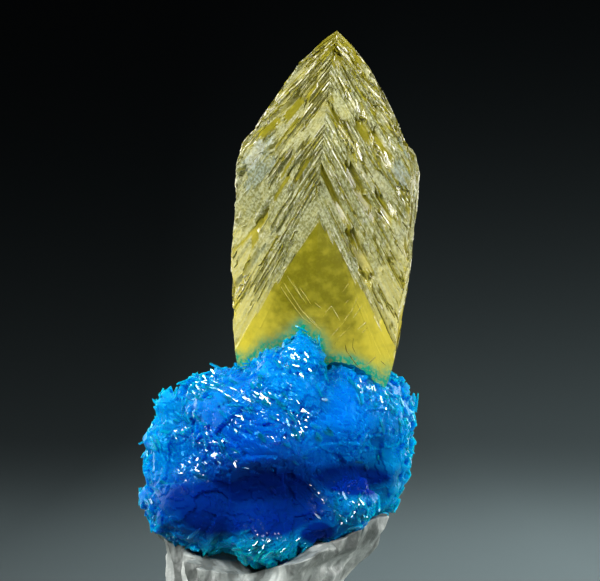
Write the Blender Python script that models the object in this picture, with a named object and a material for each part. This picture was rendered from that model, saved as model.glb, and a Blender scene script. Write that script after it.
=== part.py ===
"""Calcite crystal on a round cavansite cluster, standing in a lump of mounting putty.

Metres, +Z up, front towards -Y. The origin is the middle of the putty's flat foot.
"""

import math
import random

import bmesh
import bpy
import numpy as np
from mathutils import Matrix, Vector, noise

MM = 0.001

# Calcite: a hexagonal crystal, measured down its own axis from the tip
CALCITE_TIP = Vector((3.75, 0.3, 32.05)) * MM
CALCITE_LEAN = math.radians(3.3)
CALCITE_TURN = math.radians(-4.8)
CALCITE_LENGTH = 19.3 * MM
# (distance below the tip, distance from the axis to a ridge)
CALCITE_PROFILE = [
    (0.0, 0.0),
    (0.54 * MM, 0.71 * MM),
    (1.88 * MM, 2.1 * MM),
    (3.75 * MM, 3.4 * MM),
    (5.4 * MM, 4.45 * MM),
    (6.4 * MM, 5.2 * MM),
    (7.3 * MM, 5.47 * MM),
    (12.6 * MM, 5.55 * MM),
    (16.1 * MM, 5.15 * MM),
    (20.0 * MM, 4.5 * MM),
    (27.0 * MM, 3.2 * MM),
]
# The three smooth lower faces fall this much down the axis for each step towards it
FACE_STEEPNESS = 2.7
FACE_TOP = 10.45 * MM
# Ledges run down from the ridge over each smooth face to the ridges beside it, in nested chevrons:
# (height below the tip at the side ridge, height at the middle ridge)
LEDGE_RUNS = [
    (0.0, 0.0),
    (1.5 * MM, 0.3 * MM),
    (4.6 * MM, 0.6 * MM),
    (7.9 * MM, 1.1 * MM),
    (19.1 * MM, 10.45 * MM),
]
LEDGES = 17
LEDGE_DEPTH = 0.15 * MM
# The least, mean and swing of a ledge's depth along its length, as shares, and how often it swings
LEDGE_SHARES = (0.15, 0.8, 1.1)
LEDGE_SWING_TURNS = 1.7
LEDGE_SWING_DOWN = 1.5 / MM
LEDGE_RISER_SHARE = 0.55
CALCITE_COLUMNS = 36
SIXTH = math.pi / 3
HALVINGS = 40

# Cavansite: rosettes around one centre, each a rounded lobe covered in crystal points
CLUSTER_CENTRE = Vector((0.5, 0.2, 9.1)) * MM
# (name, centre x, y, z, half width, half depth, half height), in millimetres
LOBES = [
    ("core", 0.5, 0.5, 9.3, 4.7, 4.7, 3.3),
    ("front dome", -0.3, -0.4, 10.4, 4.2, 5.2, 4.2),
    ("right dome", 3.8, -0.1, 11.4, 3.6, 4.4, 3.6),
    ("hump", 1.8, -3.9, 13.4, 1.9, 1.4, 2.3),
    ("hump shoulder", 0.1, -3.2, 13.2, 1.3, 1.4, 1.8),
    ("top left block", -3.2, -0.5, 12.2, 1.7, 1.9, 1.7),
    ("left knob", -5.2, 0.0, 12.0, 1.1, 1.0, 1.0),
    ("left block", -5.4, -0.3, 9.8, 1.4, 1.9, 1.5),
    ("left point", -5.9, 0.0, 7.2, 1.1, 1.3, 0.9),
    ("lower left", -4.0, -0.8, 6.6, 2.7, 3.3, 2.4),
    ("bottom left knob", -3.4, -1.3, 4.8, 1.3, 1.3, 1.1),
    ("bottom fan", 0.0, -1.6, 5.4, 2.4, 2.9, 2.4),
    ("lower right", 3.1, -0.6, 6.2, 2.6, 3.2, 2.1),
    ("front fan", 4.6, -3.1, 7.1, 1.5, 1.6, 1.5),
    ("right flank", 5.7, 0.0, 10.9, 2.3, 3.2, 2.7),
    ("top right block", 6.3, 0.4, 11.8, 1.7, 2.0, 1.9),
    ("right knob", 7.0, 0.3, 9.5, 1.0, 1.2, 1.1),
    ("right block", 6.3, 0.0, 8.4, 1.4, 1.9, 1.5),
    ("right tip", 6.2, 0.3, 6.8, 1.0, 1.0, 1.0),
    ("back left", -0.9, 2.9, 9.5, 4.3, 3.9, 3.6),
    ("back right", 3.1, 2.9, 10.1, 4.0, 3.6, 3.4),
    ("back low", 1.0, 2.4, 6.9, 4.2, 2.9, 3.3),
]
# Dark hollows between the rosettes: (centre x, y, z, half size, depth), in millimetres
HOLLOWS = [
    (-0.6, -4.6, 7.2, 1.3, 1.1),
    (1.3, -4.6, 6.9, 1.5, 1.8),
    (4.1, -4.2, 8.6, 1.2, 1.3),
    (6.0, -2.6, 9.4, 1.0, 0.8),
]
VALLEY_TRIES = 9000
VALLEY_SEED = 7
TIP_SEED = 11
VALLEY_SPACING = (0.62 * MM, 1.15 * MM)
VALLEY_DEPTH = (0.25 * MM, 0.7 * MM)
TIP_SHORTFALL = 0.3 * MM
SOCKET_GAP = 0.06 * MM

# Putty, from the foot up: (height, (centre x, half width, half depth)), in millimetres
PUTTY_PROFILE = [
    (0.0, (0.4, 6.3, 5.9)),
    (0.35, (0.4, 6.6, 6.2)),
    (0.9, (0.3, 6.3, 5.9)),
    (1.6, (-0.2, 5.4, 5.1)),
    (2.5, (-0.65, 4.7, 4.6)),
    (3.4, (-0.35, 5.0, 4.9)),
    (4.4, (0.1, 5.6, 5.3)),
    (5.3, (0.3, 5.9, 5.5)),
    (6.0, (0.4, 5.9, 5.5)),
]
PUTTY_CENTRE_Y = 0.6
# The rim is full height behind and at the sides, and dips under the front of the cluster
RIM_HEIGHT = 6.0
RIM_DIP = 3.0
RIM_DIP_TURN = 0.25
RIM_DIP_SHARPNESS = 1.5
PUTTY_ROWS = 10
PUTTY_COLUMNS = 48
# Pressed flutes around the side, and broad lumps, as shares of its width
PUTTY_FLUTES = 11
FLUTE_TWIST = 0.5
FLUTE_SHARE = 0.035
LUMP_SHARE = 0.09
LUMP_TURNS = 1.6
LUMP_RISE = 0.3
PUTTY_GAP = 0.12 * MM


def clear_scene():
    for obj in list(bpy.data.objects):
        bpy.data.objects.remove(obj, do_unlink=True)


def material(name, colour, roughness, transmission=0.0, ior=1.5):
    made = bpy.data.materials.new(name)
    made.use_nodes = True
    shader = made.node_tree.nodes["Principled BSDF"]
    shader.inputs["Base Color"].default_value = (*colour, 1.0)
    shader.inputs["Roughness"].default_value = roughness
    shader.inputs["Transmission Weight"].default_value = transmission
    shader.inputs["IOR"].default_value = ior
    made.diffuse_color = (*colour, 1.0)
    return made


def add_object(name, bm, finish):
    bmesh.ops.recalc_face_normals(bm, faces=bm.faces)
    mesh = bpy.data.meshes.new(name)
    bm.to_mesh(mesh)
    bm.free()
    mesh.materials.append(finish)
    obj = bpy.data.objects.new(name, mesh)
    bpy.context.scene.collection.objects.link(obj)
    return obj


def carve(target, cutter):
    """Cuts one closed shape out of another and hides the cutter."""
    cutter.hide_render = True
    cutter.display_type = "WIRE"
    cut = target.modifiers.new("carve", "BOOLEAN")
    cut.operation = "DIFFERENCE"
    cut.object = cutter


def interpolate(points, where):
    """Reads a list of (place, values) pairs, with straight runs between them."""
    places = [place for place, _ in points]
    columns = np.atleast_2d(np.array([values for _, values in points]).T)
    return [float(np.interp(where, places, column)) for column in columns]


def calcite_point(azimuth, below, grown):
    """(distance from the axis, its share towards the nearest smooth face) at a height on the hexagonal body."""
    from_flat = azimuth % SIXTH - SIXTH / 2
    (ridge,) = interpolate(CALCITE_PROFILE, below)
    reach = ridge * math.cos(SIXTH / 2) / math.cos(from_flat) + grown
    from_face = (azimuth + SIXTH) % (2 * SIXTH) - SIXTH
    return reach, math.cos(from_face)


def calcite_level(azimuth, level, grown):
    """The height below the tip where a column meets the plane of a level, parallel to the smooth face."""
    low, high = 0.0, level
    for _ in range(HALVINGS):
        middle = (low + high) / 2
        reach, share = calcite_point(azimuth, middle, grown)
        if middle + FACE_STEEPNESS * reach * share < level:
            low = middle
        else:
            high = middle
    return high


def calcite_placing():
    """From the crystal's own axes, tip at the origin and length down -Z, to its place on the cluster."""
    lean = Matrix.Rotation(CALCITE_LEAN, 4, "Y")
    turn = Matrix.Rotation(CALCITE_TURN, 4, "Z")
    return Matrix.Translation(CALCITE_TIP) @ lean @ turn


def crystal_vector(azimuth, reach, below):
    """Azimuth 0 faces the front, -Y."""
    return Vector((reach * math.sin(azimuth), -reach * math.cos(azimuth), -below))


def ledge_point(azimuth, side_below, grown):
    """Where a column crosses the straight ledge line that ends at a height on the side ridge."""
    from_face = (azimuth + SIXTH) % (2 * SIXTH) - SIXTH
    across = abs(from_face) / SIXTH
    (middle_below,) = interpolate(LEDGE_RUNS, side_below)
    below = middle_below + across * (side_below - middle_below)
    (side_ridge,) = interpolate(CALCITE_PROFILE, side_below)
    (ridge,) = interpolate(CALCITE_PROFILE, below)
    sideways = across * side_ridge * math.sin(SIXTH)
    forward = ridge - sideways / math.tan(SIXTH)
    turned = math.copysign(math.atan2(sideways, forward), from_face)
    return azimuth - from_face + turned, math.hypot(sideways, forward) + grown, below


def ledge_depth(azimuth, side_below):
    """How far a ledge steps in: it fades and comes back along its length."""
    least, mean, swing = LEDGE_SHARES
    turn = Vector((math.cos(azimuth), math.sin(azimuth), 0)) * LEDGE_SWING_TURNS
    around = turn + Vector((0, 0, side_below * LEDGE_SWING_DOWN))
    return LEDGE_DEPTH * max(least, mean + swing * noise.noise(around))


def ledge_rings(bm, azimuths, grown, stepped):
    """Rings of points along the ledges: each ledge's edge and, under it, where its riser ends."""
    rings = []
    (side_bottom, _) = LEDGE_RUNS[-1]
    for step in range(1, LEDGES):
        side_below = side_bottom * step / LEDGES
        outer, inner = [], []
        for azimuth in azimuths:
            turned, reach, below = ledge_point(azimuth, side_below, grown)
            outer.append(bm.verts.new(crystal_vector(turned, reach, below)))
            _, _, next_below = ledge_point(azimuth, side_bottom * (step + 1) / LEDGES, grown)
            fall = FACE_STEEPNESS * math.cos((turned + SIXTH) % (2 * SIXTH) - SIXTH)
            room = LEDGE_RISER_SHARE * (next_below - below)
            depth = min(ledge_depth(azimuth, side_below), room / fall)
            inner.append((turned, reach - depth, below + fall * depth))
        rings.append(outer)
        if stepped:
            rings.append([bm.verts.new(crystal_vector(*place)) for place in inner])
    return rings


def calcite_body(grown=0.0, ledges=True):
    """The crystal: ledges above the smooth lower faces, whose planes meet below the cut base."""
    bm = bmesh.new()
    azimuths = [2 * math.pi * column / CALCITE_COLUMNS for column in range(CALCITE_COLUMNS)]
    rings = ledge_rings(bm, azimuths, grown, ledges)
    (ridge,) = interpolate(CALCITE_PROFILE, FACE_TOP)
    last_level = FACE_TOP + FACE_STEEPNESS * (ridge + grown)
    edge = []
    for azimuth in azimuths:
        below = calcite_level(azimuth, last_level, grown)
        reach, _ = calcite_point(azimuth, below, grown)
        edge.append(bm.verts.new(crystal_vector(azimuth, reach, below)))
    rings.append(edge)
    for upper, lower in zip(rings, rings[1:]):
        for column in range(CALCITE_COLUMNS):
            beside = (column + 1) % CALCITE_COLUMNS
            bm.faces.new((upper[column], lower[column], lower[beside], upper[beside]))
    tip = bm.verts.new((0.0, 0.0, grown))
    foot = bm.verts.new((0.0, 0.0, -last_level))
    for column in range(CALCITE_COLUMNS):
        beside = (column + 1) % CALCITE_COLUMNS
        bm.faces.new((tip, rings[0][column], rings[0][beside]))
        bm.faces.new((foot, rings[-1][beside], rings[-1][column]))
    cut_base(bm, CALCITE_LENGTH + grown)
    bm.transform(calcite_placing())
    return bm


def cut_base(bm, below):
    """Cuts the crystal off square to its axis and closes the cut."""
    everything = bm.verts[:] + bm.edges[:] + bm.faces[:]
    cut = bmesh.ops.bisect_plane(
        bm, geom=everything, plane_co=(0, 0, -below), plane_no=(0, 0, -1), clear_outer=True
    )
    edges = [item for item in cut["geom_cut"] if isinstance(item, bmesh.types.BMEdge)]
    bmesh.ops.contextual_create(bm, geom=edges)


def lobe_exit(start, direction, lobe):
    """How far a ray runs before it leaves a lobe, or 0 if it misses it."""
    _, x, y, z, wide, deep, high = lobe
    size = Vector((wide, deep, high)) * MM
    offset = start - Vector((x, y, z)) * MM
    scaled_start = Vector([o / s for o, s in zip(offset, size)])
    scaled_way = Vector([d / s for d, s in zip(direction, size)])
    a = scaled_way.dot(scaled_way)
    b = scaled_start.dot(scaled_way)
    c = scaled_start.dot(scaled_start) - 1
    inside = b * b - a * c
    return (-b + math.sqrt(inside)) / a if inside > 0 else 0.0


def cluster_reach(direction):
    """How far the cluster reaches from its centre: the furthest lobe, less the hollows pressed into it."""
    reach = max(lobe_exit(CLUSTER_CENTRE, direction, lobe) for lobe in LOBES)
    point = CLUSTER_CENTRE + direction * reach
    for x, y, z, size, depth in HOLLOWS:
        away = (point - Vector((x, y, z)) * MM).length / (size * MM)
        reach -= depth * MM * math.exp(-away * away)
    return reach


def valley_directions():
    """Directions whose points on the lobes lie apart by large and small crystals' widths."""
    chance = random.Random(VALLEY_SEED)
    points = np.empty((VALLEY_TRIES, 3))
    directions = []
    for _ in range(VALLEY_TRIES):
        direction = Vector([chance.gauss(0, 1) for _ in range(3)]).normalized()
        spacing = chance.uniform(*VALLEY_SPACING)
        point = direction * cluster_reach(direction)
        taken = points[: len(directions)] - point
        if directions and (taken * taken).sum(axis=1).min() < spacing * spacing:
            continue
        points[len(directions)] = point
        directions.append(direction)
    return directions


def cluster_shell():
    """A closed shell of triangles over the valley directions, as unit vectors."""
    bm = bmesh.new()
    for direction in valley_directions():
        bm.verts.new(direction)
    bmesh.ops.convex_hull(bm, input=bm.verts)
    return bm


def cluster_body():
    """Crystal points: each triangle of the shell rises to a tip, and its corners sink into valleys."""
    chance = random.Random(TIP_SEED)
    bm = cluster_shell()
    poked = bmesh.ops.poke(bm, faces=bm.faces[:])
    tips = set(poked["verts"])
    for vert in bm.verts:
        direction = vert.co.normalized()
        reach = cluster_reach(direction)
        if vert in tips:
            reach -= TIP_SHORTFALL * chance.random() ** 2
        else:
            reach -= chance.uniform(*VALLEY_DEPTH)
        vert.co = CLUSTER_CENTRE + direction * reach
    return bm


def cluster_envelope(gap):
    """The cluster's outer shape without its valleys, a little larger, to press its bed into the putty."""
    bm = cluster_shell()
    for vert in bm.verts:
        vert.co = CLUSTER_CENTRE + vert.co * (cluster_reach(vert.co.normalized()) + gap)
    return bm


def putty_point(azimuth, share):
    """A point of the pressed and fluted side, at a share of the way up to the rim there."""
    front = max(0.0, math.cos(azimuth + RIM_DIP_TURN)) ** RIM_DIP_SHARPNESS
    height = share * (RIM_HEIGHT - RIM_DIP * front)
    centre, wide, deep = interpolate(PUTTY_PROFILE, height)
    flute = math.cos(PUTTY_FLUTES * azimuth + FLUTE_TWIST * height)
    lump = noise.noise(Vector((math.cos(azimuth), math.sin(azimuth), height * LUMP_RISE)) * LUMP_TURNS)
    swell = 1 + (FLUTE_SHARE * flute + LUMP_SHARE * lump) * min(1.0, height)
    x = centre + wide * swell * math.sin(azimuth)
    y = PUTTY_CENTRE_Y - deep * swell * math.cos(azimuth)
    return Vector((x, y, height)) * MM


def putty_body():
    """Rows of points up the side, closed flat below and across the rim."""
    bm = bmesh.new()
    azimuths = [2 * math.pi * column / PUTTY_COLUMNS for column in range(PUTTY_COLUMNS)]
    rings = []
    for row in range(PUTTY_ROWS + 1):
        rings.append([bm.verts.new(putty_point(azimuth, row / PUTTY_ROWS)) for azimuth in azimuths])
    for lower, upper in zip(rings, rings[1:]):
        for column in range(PUTTY_COLUMNS):
            beside = (column + 1) % PUTTY_COLUMNS
            bm.faces.new((lower[column], lower[beside], upper[beside], upper[column]))
    bm.faces.new(rings[0])
    top = bm.verts.new((0.0, PUTTY_CENTRE_Y * MM, RIM_HEIGHT * MM))
    for column in range(PUTTY_COLUMNS):
        bm.faces.new((rings[-1][column], rings[-1][(column + 1) % PUTTY_COLUMNS], top))
    return bm


def main():
    clear_scene()
    clear_yellow = material("calcite", (0.72, 0.6, 0.12), 0.15, transmission=0.8, ior=1.6)
    blue = material("cavansite", (0.0, 0.13, 0.6), 0.25)
    pale = material("putty", (0.62, 0.62, 0.6), 0.6)

    add_object("calcite_crystal", calcite_body(), clear_yellow)

    cluster = add_object("cavansite_cluster", cluster_body(), blue)
    carve(cluster, add_object("calcite_socket", calcite_body(SOCKET_GAP, ledges=False), blue))

    putty = add_object("putty_mount", putty_body(), pale)
    carve(putty, add_object("cluster_bed", cluster_envelope(PUTTY_GAP), pale))


main()
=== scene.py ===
"""Looks of a calcite crystal on a cavansite cluster in a lump of mounting putty.

Metres, +Z up, front towards -Y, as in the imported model.
"""

import math

import bpy
import numpy as np
from mathutils import Matrix, Vector, noise
from mathutils.bvhtree import BVHTree
from mathutils.kdtree import KDTree


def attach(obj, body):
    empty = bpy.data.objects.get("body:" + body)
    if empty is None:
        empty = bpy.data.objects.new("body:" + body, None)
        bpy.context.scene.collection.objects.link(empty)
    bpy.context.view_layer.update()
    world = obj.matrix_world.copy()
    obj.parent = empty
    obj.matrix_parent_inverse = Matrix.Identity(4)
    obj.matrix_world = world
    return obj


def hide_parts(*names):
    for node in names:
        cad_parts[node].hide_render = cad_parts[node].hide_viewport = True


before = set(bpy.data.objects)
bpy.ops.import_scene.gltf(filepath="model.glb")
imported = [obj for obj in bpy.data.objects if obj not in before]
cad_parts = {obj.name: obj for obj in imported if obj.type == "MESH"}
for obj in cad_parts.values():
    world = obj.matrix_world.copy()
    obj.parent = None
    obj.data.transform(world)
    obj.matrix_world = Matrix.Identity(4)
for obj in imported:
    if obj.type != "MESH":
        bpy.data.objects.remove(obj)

MM = 0.001
SIXTH = math.pi / 3

# Photograph: the frame's width and middle in the plane of the specimen, and the camera's distance
FRAME_WIDTH = 32.16 * MM
FRAME_MIDDLE = Vector((1.77, 0.0, 18.09)) * MM
CAMERA_DISTANCE = 250 * MM
SENSOR_WIDTH = 36.0

# Calcite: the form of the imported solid, measured down its own axis from the tip
CALCITE_TIP = Vector((3.75, 0.3, 32.05)) * MM
CALCITE_LEAN = math.radians(3.3)
CALCITE_TURN = math.radians(-4.8)
CALCITE_LENGTH = 19.3 * MM
PROFILE_PLACES = np.array([0.0, 0.54, 1.88, 3.75, 5.4, 6.4, 7.3, 12.6, 16.1, 20.0, 27.0]) * MM
PROFILE_RIDGES = np.array([0.0, 0.71, 2.1, 3.4, 4.45, 5.2, 5.47, 5.55, 5.15, 4.5, 3.2]) * MM
FACE_STEEPNESS = 2.7
FACE_TOP = 10.45 * MM
LAST_LEVEL = FACE_TOP + FACE_STEEPNESS * float(np.interp(FACE_TOP, PROFILE_PLACES, PROFILE_RIDGES))
LEDGE_SIDES = np.array([0.0, 1.5, 4.6, 7.9, 19.1]) * MM
LEDGE_MIDDLES = np.array([0.0, 0.3, 0.6, 1.1, 10.45]) * MM
LEDGES = 17
LEDGE_DEPTH = 0.15 * MM
LEDGE_SHARES = (0.15, 0.8, 1.1)
LEDGE_SWING_TURNS = 1.7
LEDGE_SWING_DOWN = 1.5 / MM
# Fine growth steps between the ledges
HALF_FACE_COLUMNS = 56
STRIAE_IN_LEDGE = 3
STRIA_DEPTH = 0.1 * MM
FACE_ROWS = 60
ALONG_HALF_FACE = 8.0
# Patches of the stepped faces, their sizes in ledges across and in the same steps as ALONG_HALF_FACE
STRIATED, SMOOTH, FACET, CALM, COOL, WINDOW = range(6)
PATCHES_IN_HALF_FACE = 80
PATCH_SLANT = 0.65
KIND_CHANCES = {
    "left": (0.73, 0.05, 0.06, 0.14, 0.02),
    "right": (0.58, 0.09, 0.2, 0.1, 0.03),
    "edge": (0.2, 0.4, 0.2, 0.1, 0.1),
}
CALM_FROM = 3.0
CALM_CHANCE = 0.55
TIP_SMOOTH = 1.5 * MM
WINDOW_HAZE = 0.5
# How much less frosting the left-hand half faces have near the tip
UPPER_CLEARNESS = 0.5
# The frosting ends above the smooth face's edge, by so many ledges at each place along a half face
WEDGE_PLACES = (0.0, 1.0, 3.0, 5.0, 8.0)
WEDGE_LEFT = (0.0, 0.35, 1.1, 1.4, 1.8)
WEDGE_RIGHT = (0.3, 0.85, 1.3, 1.8, 2.2)
WINDOW_EDGE_ROUND = 0.35 * MM
WINDOW_ROW_GAP = 0.003 * MM
# Flat notches across the ridges, first those that run down the middle of a smooth face, then those between
RIDGE_NOTCHES = (8, 34)
NOTCH_KIND_CHANCES = ((0.8, 0.2, 0.0, 0.0), (0.3, 0.35, 0.25, 0.1))
NOTCH_FALL = 6.0 * MM
NOTCH_PLACES = (3.4 * MM, 15.5 * MM)
NOTCH_DEPTH = (0.05 * MM, 0.22 * MM)
NOTCH_HALF_HEIGHT = (0.12 * MM, 0.45 * MM)
SMOOTH_PRESS = 0.05 * MM
SMOOTH_LEAN = np.array((0.0, 0.0, 0.24))
LEAN_FROM_LEDGE = 3
CALM_PRESS_FROM_LEDGE = 1.5
FACET_DEEPEST = 0.3 * MM
FACET_ROUGH = 0.008 * MM
# Patches that stand out on the front: (x, z, half across, half along, kind), x and z in millimetres
FRONT_PATCHES = (
    (2.4, 30.6, 0.5, 1.2, SMOOTH),
    (5.1, 30.1, 0.7, 1.3, SMOOTH),
    (0.85, 28.55, 0.6, 0.9, SMOOTH),
    (1.35, 27.85, 0.5, 0.7, SMOOTH),
    (1.0, 26.45, 0.18, 1.0, SMOOTH),
    (0.0, 26.7, 0.6, 0.8, SMOOTH),
    (2.35, 28.85, 0.35, 0.5, SMOOTH),
    (2.7, 27.0, 0.6, 0.8, CALM),
    (1.55, 26.0, 0.6, 0.7, CALM),
    (1.05, 24.75, 0.3, 0.6, SMOOTH),
    (-0.6, 25.6, 0.6, 1.1, COOL),
    (-0.5, 24.35, 0.8, 1.2, COOL),
    (0.6, 23.4, 0.2, 0.9, SMOOTH),
    (4.95, 29.2, 0.36, 0.36, FACET),
    (5.5, 28.55, 0.36, 0.36, FACET),
    (4.6, 29.15, 0.2, 1.0, SMOOTH),
    (3.35, 28.3, 0.42, 0.32, FACET),
    (5.65, 28.0, 0.4, 0.6, SMOOTH),
    (5.2, 27.55, 0.36, 0.4, FACET),
    (3.9, 26.85, 0.2, 1.0, SMOOTH),
    (6.2, 25.7, 0.3, 0.7, SMOOTH),
    (7.6, 25.8, 0.7, 0.8, COOL),
    (7.3, 24.3, 0.5, 0.7, COOL),
    (6.45, 25.05, 0.38, 0.45, FACET),
    (6.3, 23.3, 0.35, 0.4, CALM),
    (7.3, 23.3, 0.4, 0.45, FACET),
    (6.65, 22.4, 0.3, 0.45, FACET),
    (6.2, 21.8, 0.3, 0.45, FACET),
    (6.35, 22.7, 0.3, 0.5, SMOOTH),
    (3.7, 22.9, 0.3, 2.0, SMOOTH),
    (4.9, 20.1, 0.5, 1.2, SMOOTH),
    (4.95, 25.4, 0.3, 0.5, FACET),
    (7.75, 22.6, 0.35, 0.5, FACET),
    (0.2, 22.4, 0.7, 1.2, CALM),
    (-0.9, 22.9, 0.9, 1.3, CALM),
    (1.9, 24.4, 0.35, 0.7, SMOOTH),
    (3.9, 27.9, 0.5, 0.8, CALM),
    (-0.4, 21.8, 0.25, 0.7, SMOOTH),
)
# Lines on the front: (tone, width, places x, z), in millimetres; tone 0 is dark, 0.5 yellow and 1 white
HAIRLINES = (
    (1.0, 0.08, ((3.75, 31.9), (3.73, 31.44))),
    (1.0, 0.05, ((3.7, 31.4), (2.95, 30.8))),
    (1.0, 0.05, ((3.75, 31.4), (4.15, 30.9))),
    (1.0, 0.06, ((3.65, 30.85), (3.6, 30.3))),
    (1.0, 0.05, ((2.7, 30.3), (2.1, 29.6))),
    (0.9, 0.06, ((3.25, 21.4), (4.2, 19.6), (5.1, 18.1))),
    (0.9, 0.05, ((3.45, 21.5), (4.45, 19.8))),
    (0.9, 0.06, ((5.25, 18.0), (5.75, 17.0))),
    (0.9, 0.05, ((5.65, 16.8), (6.1, 15.9))),
    (0.5, 0.05, ((0.75, 18.3), (1.07, 17.8), (1.5, 17.2), (1.95, 16.6), (2.5, 16.25))),
    (0.5, 0.05, ((0.9, 18.5), (1.35, 17.8), (1.8, 17.1), (2.25, 16.6))),
    (0.5, 0.05, ((1.1, 18.85), (1.45, 18.3), (1.9, 17.65))),
    (0.5, 0.04, ((1.4, 18.55), (1.75, 17.9), (2.1, 17.4))),
    (0.5, 0.04, ((1.7, 18.3), (2.1, 17.75), (2.35, 17.35))),
    (0.5, 0.05, ((2.0, 16.95), (2.4, 16.4), (2.95, 15.95))),
    (0.5, 0.04, ((2.25, 16.7), (2.75, 16.15))),
    (0.5, 0.04, ((2.55, 17.45), (2.95, 17.1))),
    (0.6, 0.05, ((3.08, 16.9), (3.43, 17.27), (3.9, 16.5))),
    (0.5, 0.04, ((2.95, 16.65), (3.2, 16.95))),
    (0.6, 0.05, ((3.45, 15.7), (3.95, 16.25))),
    (0.5, 0.05, ((3.7, 15.5), (4.05, 15.8))),
    (0.6, 0.05, ((4.05, 16.45), (4.5, 17.0), (4.8, 17.75))),
    (0.5, 0.04, ((3.9, 16.2), (4.25, 16.6))),
    (0.5, 0.05, ((4.0, 18.0), (4.37, 18.5))),
    (0.5, 0.04, ((4.15, 17.4), (4.4, 17.65))),
    (0.6, 0.05, ((4.55, 16.6), (4.85, 17.0), (5.05, 17.3))),
    (0.6, 0.05, ((4.8, 16.0), (5.3, 16.45))),
    (0.5, 0.05, ((5.05, 15.85), (5.35, 16.15))),
    (0.5, 0.05, ((3.5, 15.05), (3.8, 15.6), (4.1, 15.85), (4.45, 16.25))),
    (0.0, 0.08, ((4.15, 15.3), (4.23, 14.9), (4.65, 14.3), (4.95, 13.95))),
    (0.0, 0.05, ((5.8, 14.6), (5.5, 14.3), (5.3, 14.15))),
    (0.0, 0.05, ((6.0, 14.4), (6.35, 14.1))),
    (0.1, 0.05, ((4.6, 15.6), (4.55, 15.1), (4.75, 14.7))),
)
HAIRLINE_STEP = 0.08 * MM
HAIRLINE_LIFT = 0.012 * MM
# Lines that follow the ledges, on each left and right half face
GROWTH_LINES = {"left": 190, "right": 210}
GROWTH_LINE_GATHERING = {"left": 1.4, "right": 1.0}
CALM_LINE_LOSS = 0.85
GROWTH_LINE_LENGTH = (0.4, 2.4)
GROWTH_LINE_STEPS = 12
GROWTH_LINE_LIFT = 0.04 * MM
DARK_LINE_SHARE = 0.6
BROAD_GLINT = np.array((0.43, -0.894, 0.123))
KEY_GLINT = np.array((-0.284, -0.907, 0.312))

# Cavansite: (centre x, y, z, half width, half depth, half height, teal), in millimetres, as in the imported solid,
# with two more at the end that fill notches on the left; teal is the share of a painted glow of light shining through
# thin lobes
LOBES = np.array([
    (0.5, 0.5, 9.3, 4.7, 4.7, 3.3, 0.0),
    (-0.3, -0.4, 10.4, 4.2, 5.2, 4.2, 0.0),
    (3.8, -0.1, 11.4, 3.6, 4.4, 3.6, 0.0),
    (1.85, -3.9, 13.4, 1.6, 1.4, 2.85, 0.25),
    (0.2, -3.2, 13.2, 1.2, 1.4, 2.0, 0.2),
    (-3.2, -0.5, 12.2, 1.7, 1.9, 1.7, 0.35),
    (-5.2, 0.0, 12.0, 1.1, 1.0, 1.0, 0.55),
    (-5.4, -0.3, 9.8, 1.4, 1.9, 1.5, 0.45),
    (-5.9, 0.0, 7.2, 1.1, 1.3, 0.9, 0.4),
    (-4.0, -0.8, 6.6, 2.7, 3.3, 2.4, 0.2),
    (-3.4, -1.3, 4.8, 1.3, 1.3, 1.1, 0.9),
    (0.0, -1.6, 5.4, 2.4, 2.9, 2.4, 0.9),
    (3.1, -0.6, 6.2, 2.6, 3.2, 2.1, 0.3),
    (4.6, -3.1, 7.1, 1.5, 1.6, 1.5, 0.55),
    (5.7, 0.0, 10.9, 2.3, 3.2, 2.7, 0.5),
    (6.3, 0.4, 11.8, 1.7, 2.0, 1.9, 0.4),
    (7.0, 0.3, 9.5, 1.0, 1.2, 1.1, 1.0),
    (6.3, 0.0, 8.4, 1.4, 1.9, 1.5, 0.8),
    (6.2, 0.3, 6.8, 1.0, 1.0, 1.0, 0.7),
    (-0.9, 2.9, 9.5, 4.3, 3.9, 3.6, 0.2),
    (3.1, 2.9, 10.1, 4.0, 3.6, 3.4, 0.2),
    (1.0, 2.4, 6.9, 4.2, 2.9, 3.3, 0.4),
    (-5.0, -0.3, 8.5, 1.5, 1.8, 1.3, 0.4),
    (-2.7, -2.2, 12.1, 1.6, 1.5, 1.1, 0.3),
])
HOLLOWS = np.array([
    (-0.6, -4.6, 7.2, 1.3, 1.1),
    (1.3, -4.6, 6.9, 1.5, 1.8),
    (4.1, -4.2, 8.6, 1.2, 1.3),
    (6.0, -2.6, 9.4, 1.0, 0.8),
])
# Navy depths, of painted shade in the front hollows and under overhangs and of darker tone on the back: (x, y, z, half
# width, half depth, half height), in millimetres
SHADE_STRENGTH = 2.6
SHADES = (
    (0.3, -4.6, 6.8, 2.9, 3.0, 1.7),
    (-2.6, -3.8, 6.6, 1.9, 2.5, 1.5),
    (-4.2, -2.4, 6.9, 1.3, 1.6, 1.1),
    (5.0, -3.6, 8.1, 2.3, 2.5, 0.7),
    (2.7, -3.4, 5.2, 0.8, 2.0, 0.6),
    (-2.0, 5.5, 8.0, 1.8, 2.0, 1.2),
    (4.2, 5.0, 9.0, 1.2, 2.0, 0.9),
    (1.0, 5.0, 6.0, 1.5, 2.0, 0.8),
)
# Painted light, a clearer and lighter azure where the cluster lies in shade: (x, y, z, half width, half depth, half
# height), in millimetres
LIT_AZURES = (
    (3.9, -4.0, 10.2, 2.0, 3.0, 1.2),
    (6.9, -1.0, 9.6, 1.0, 3.0, 1.5),
)
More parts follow.
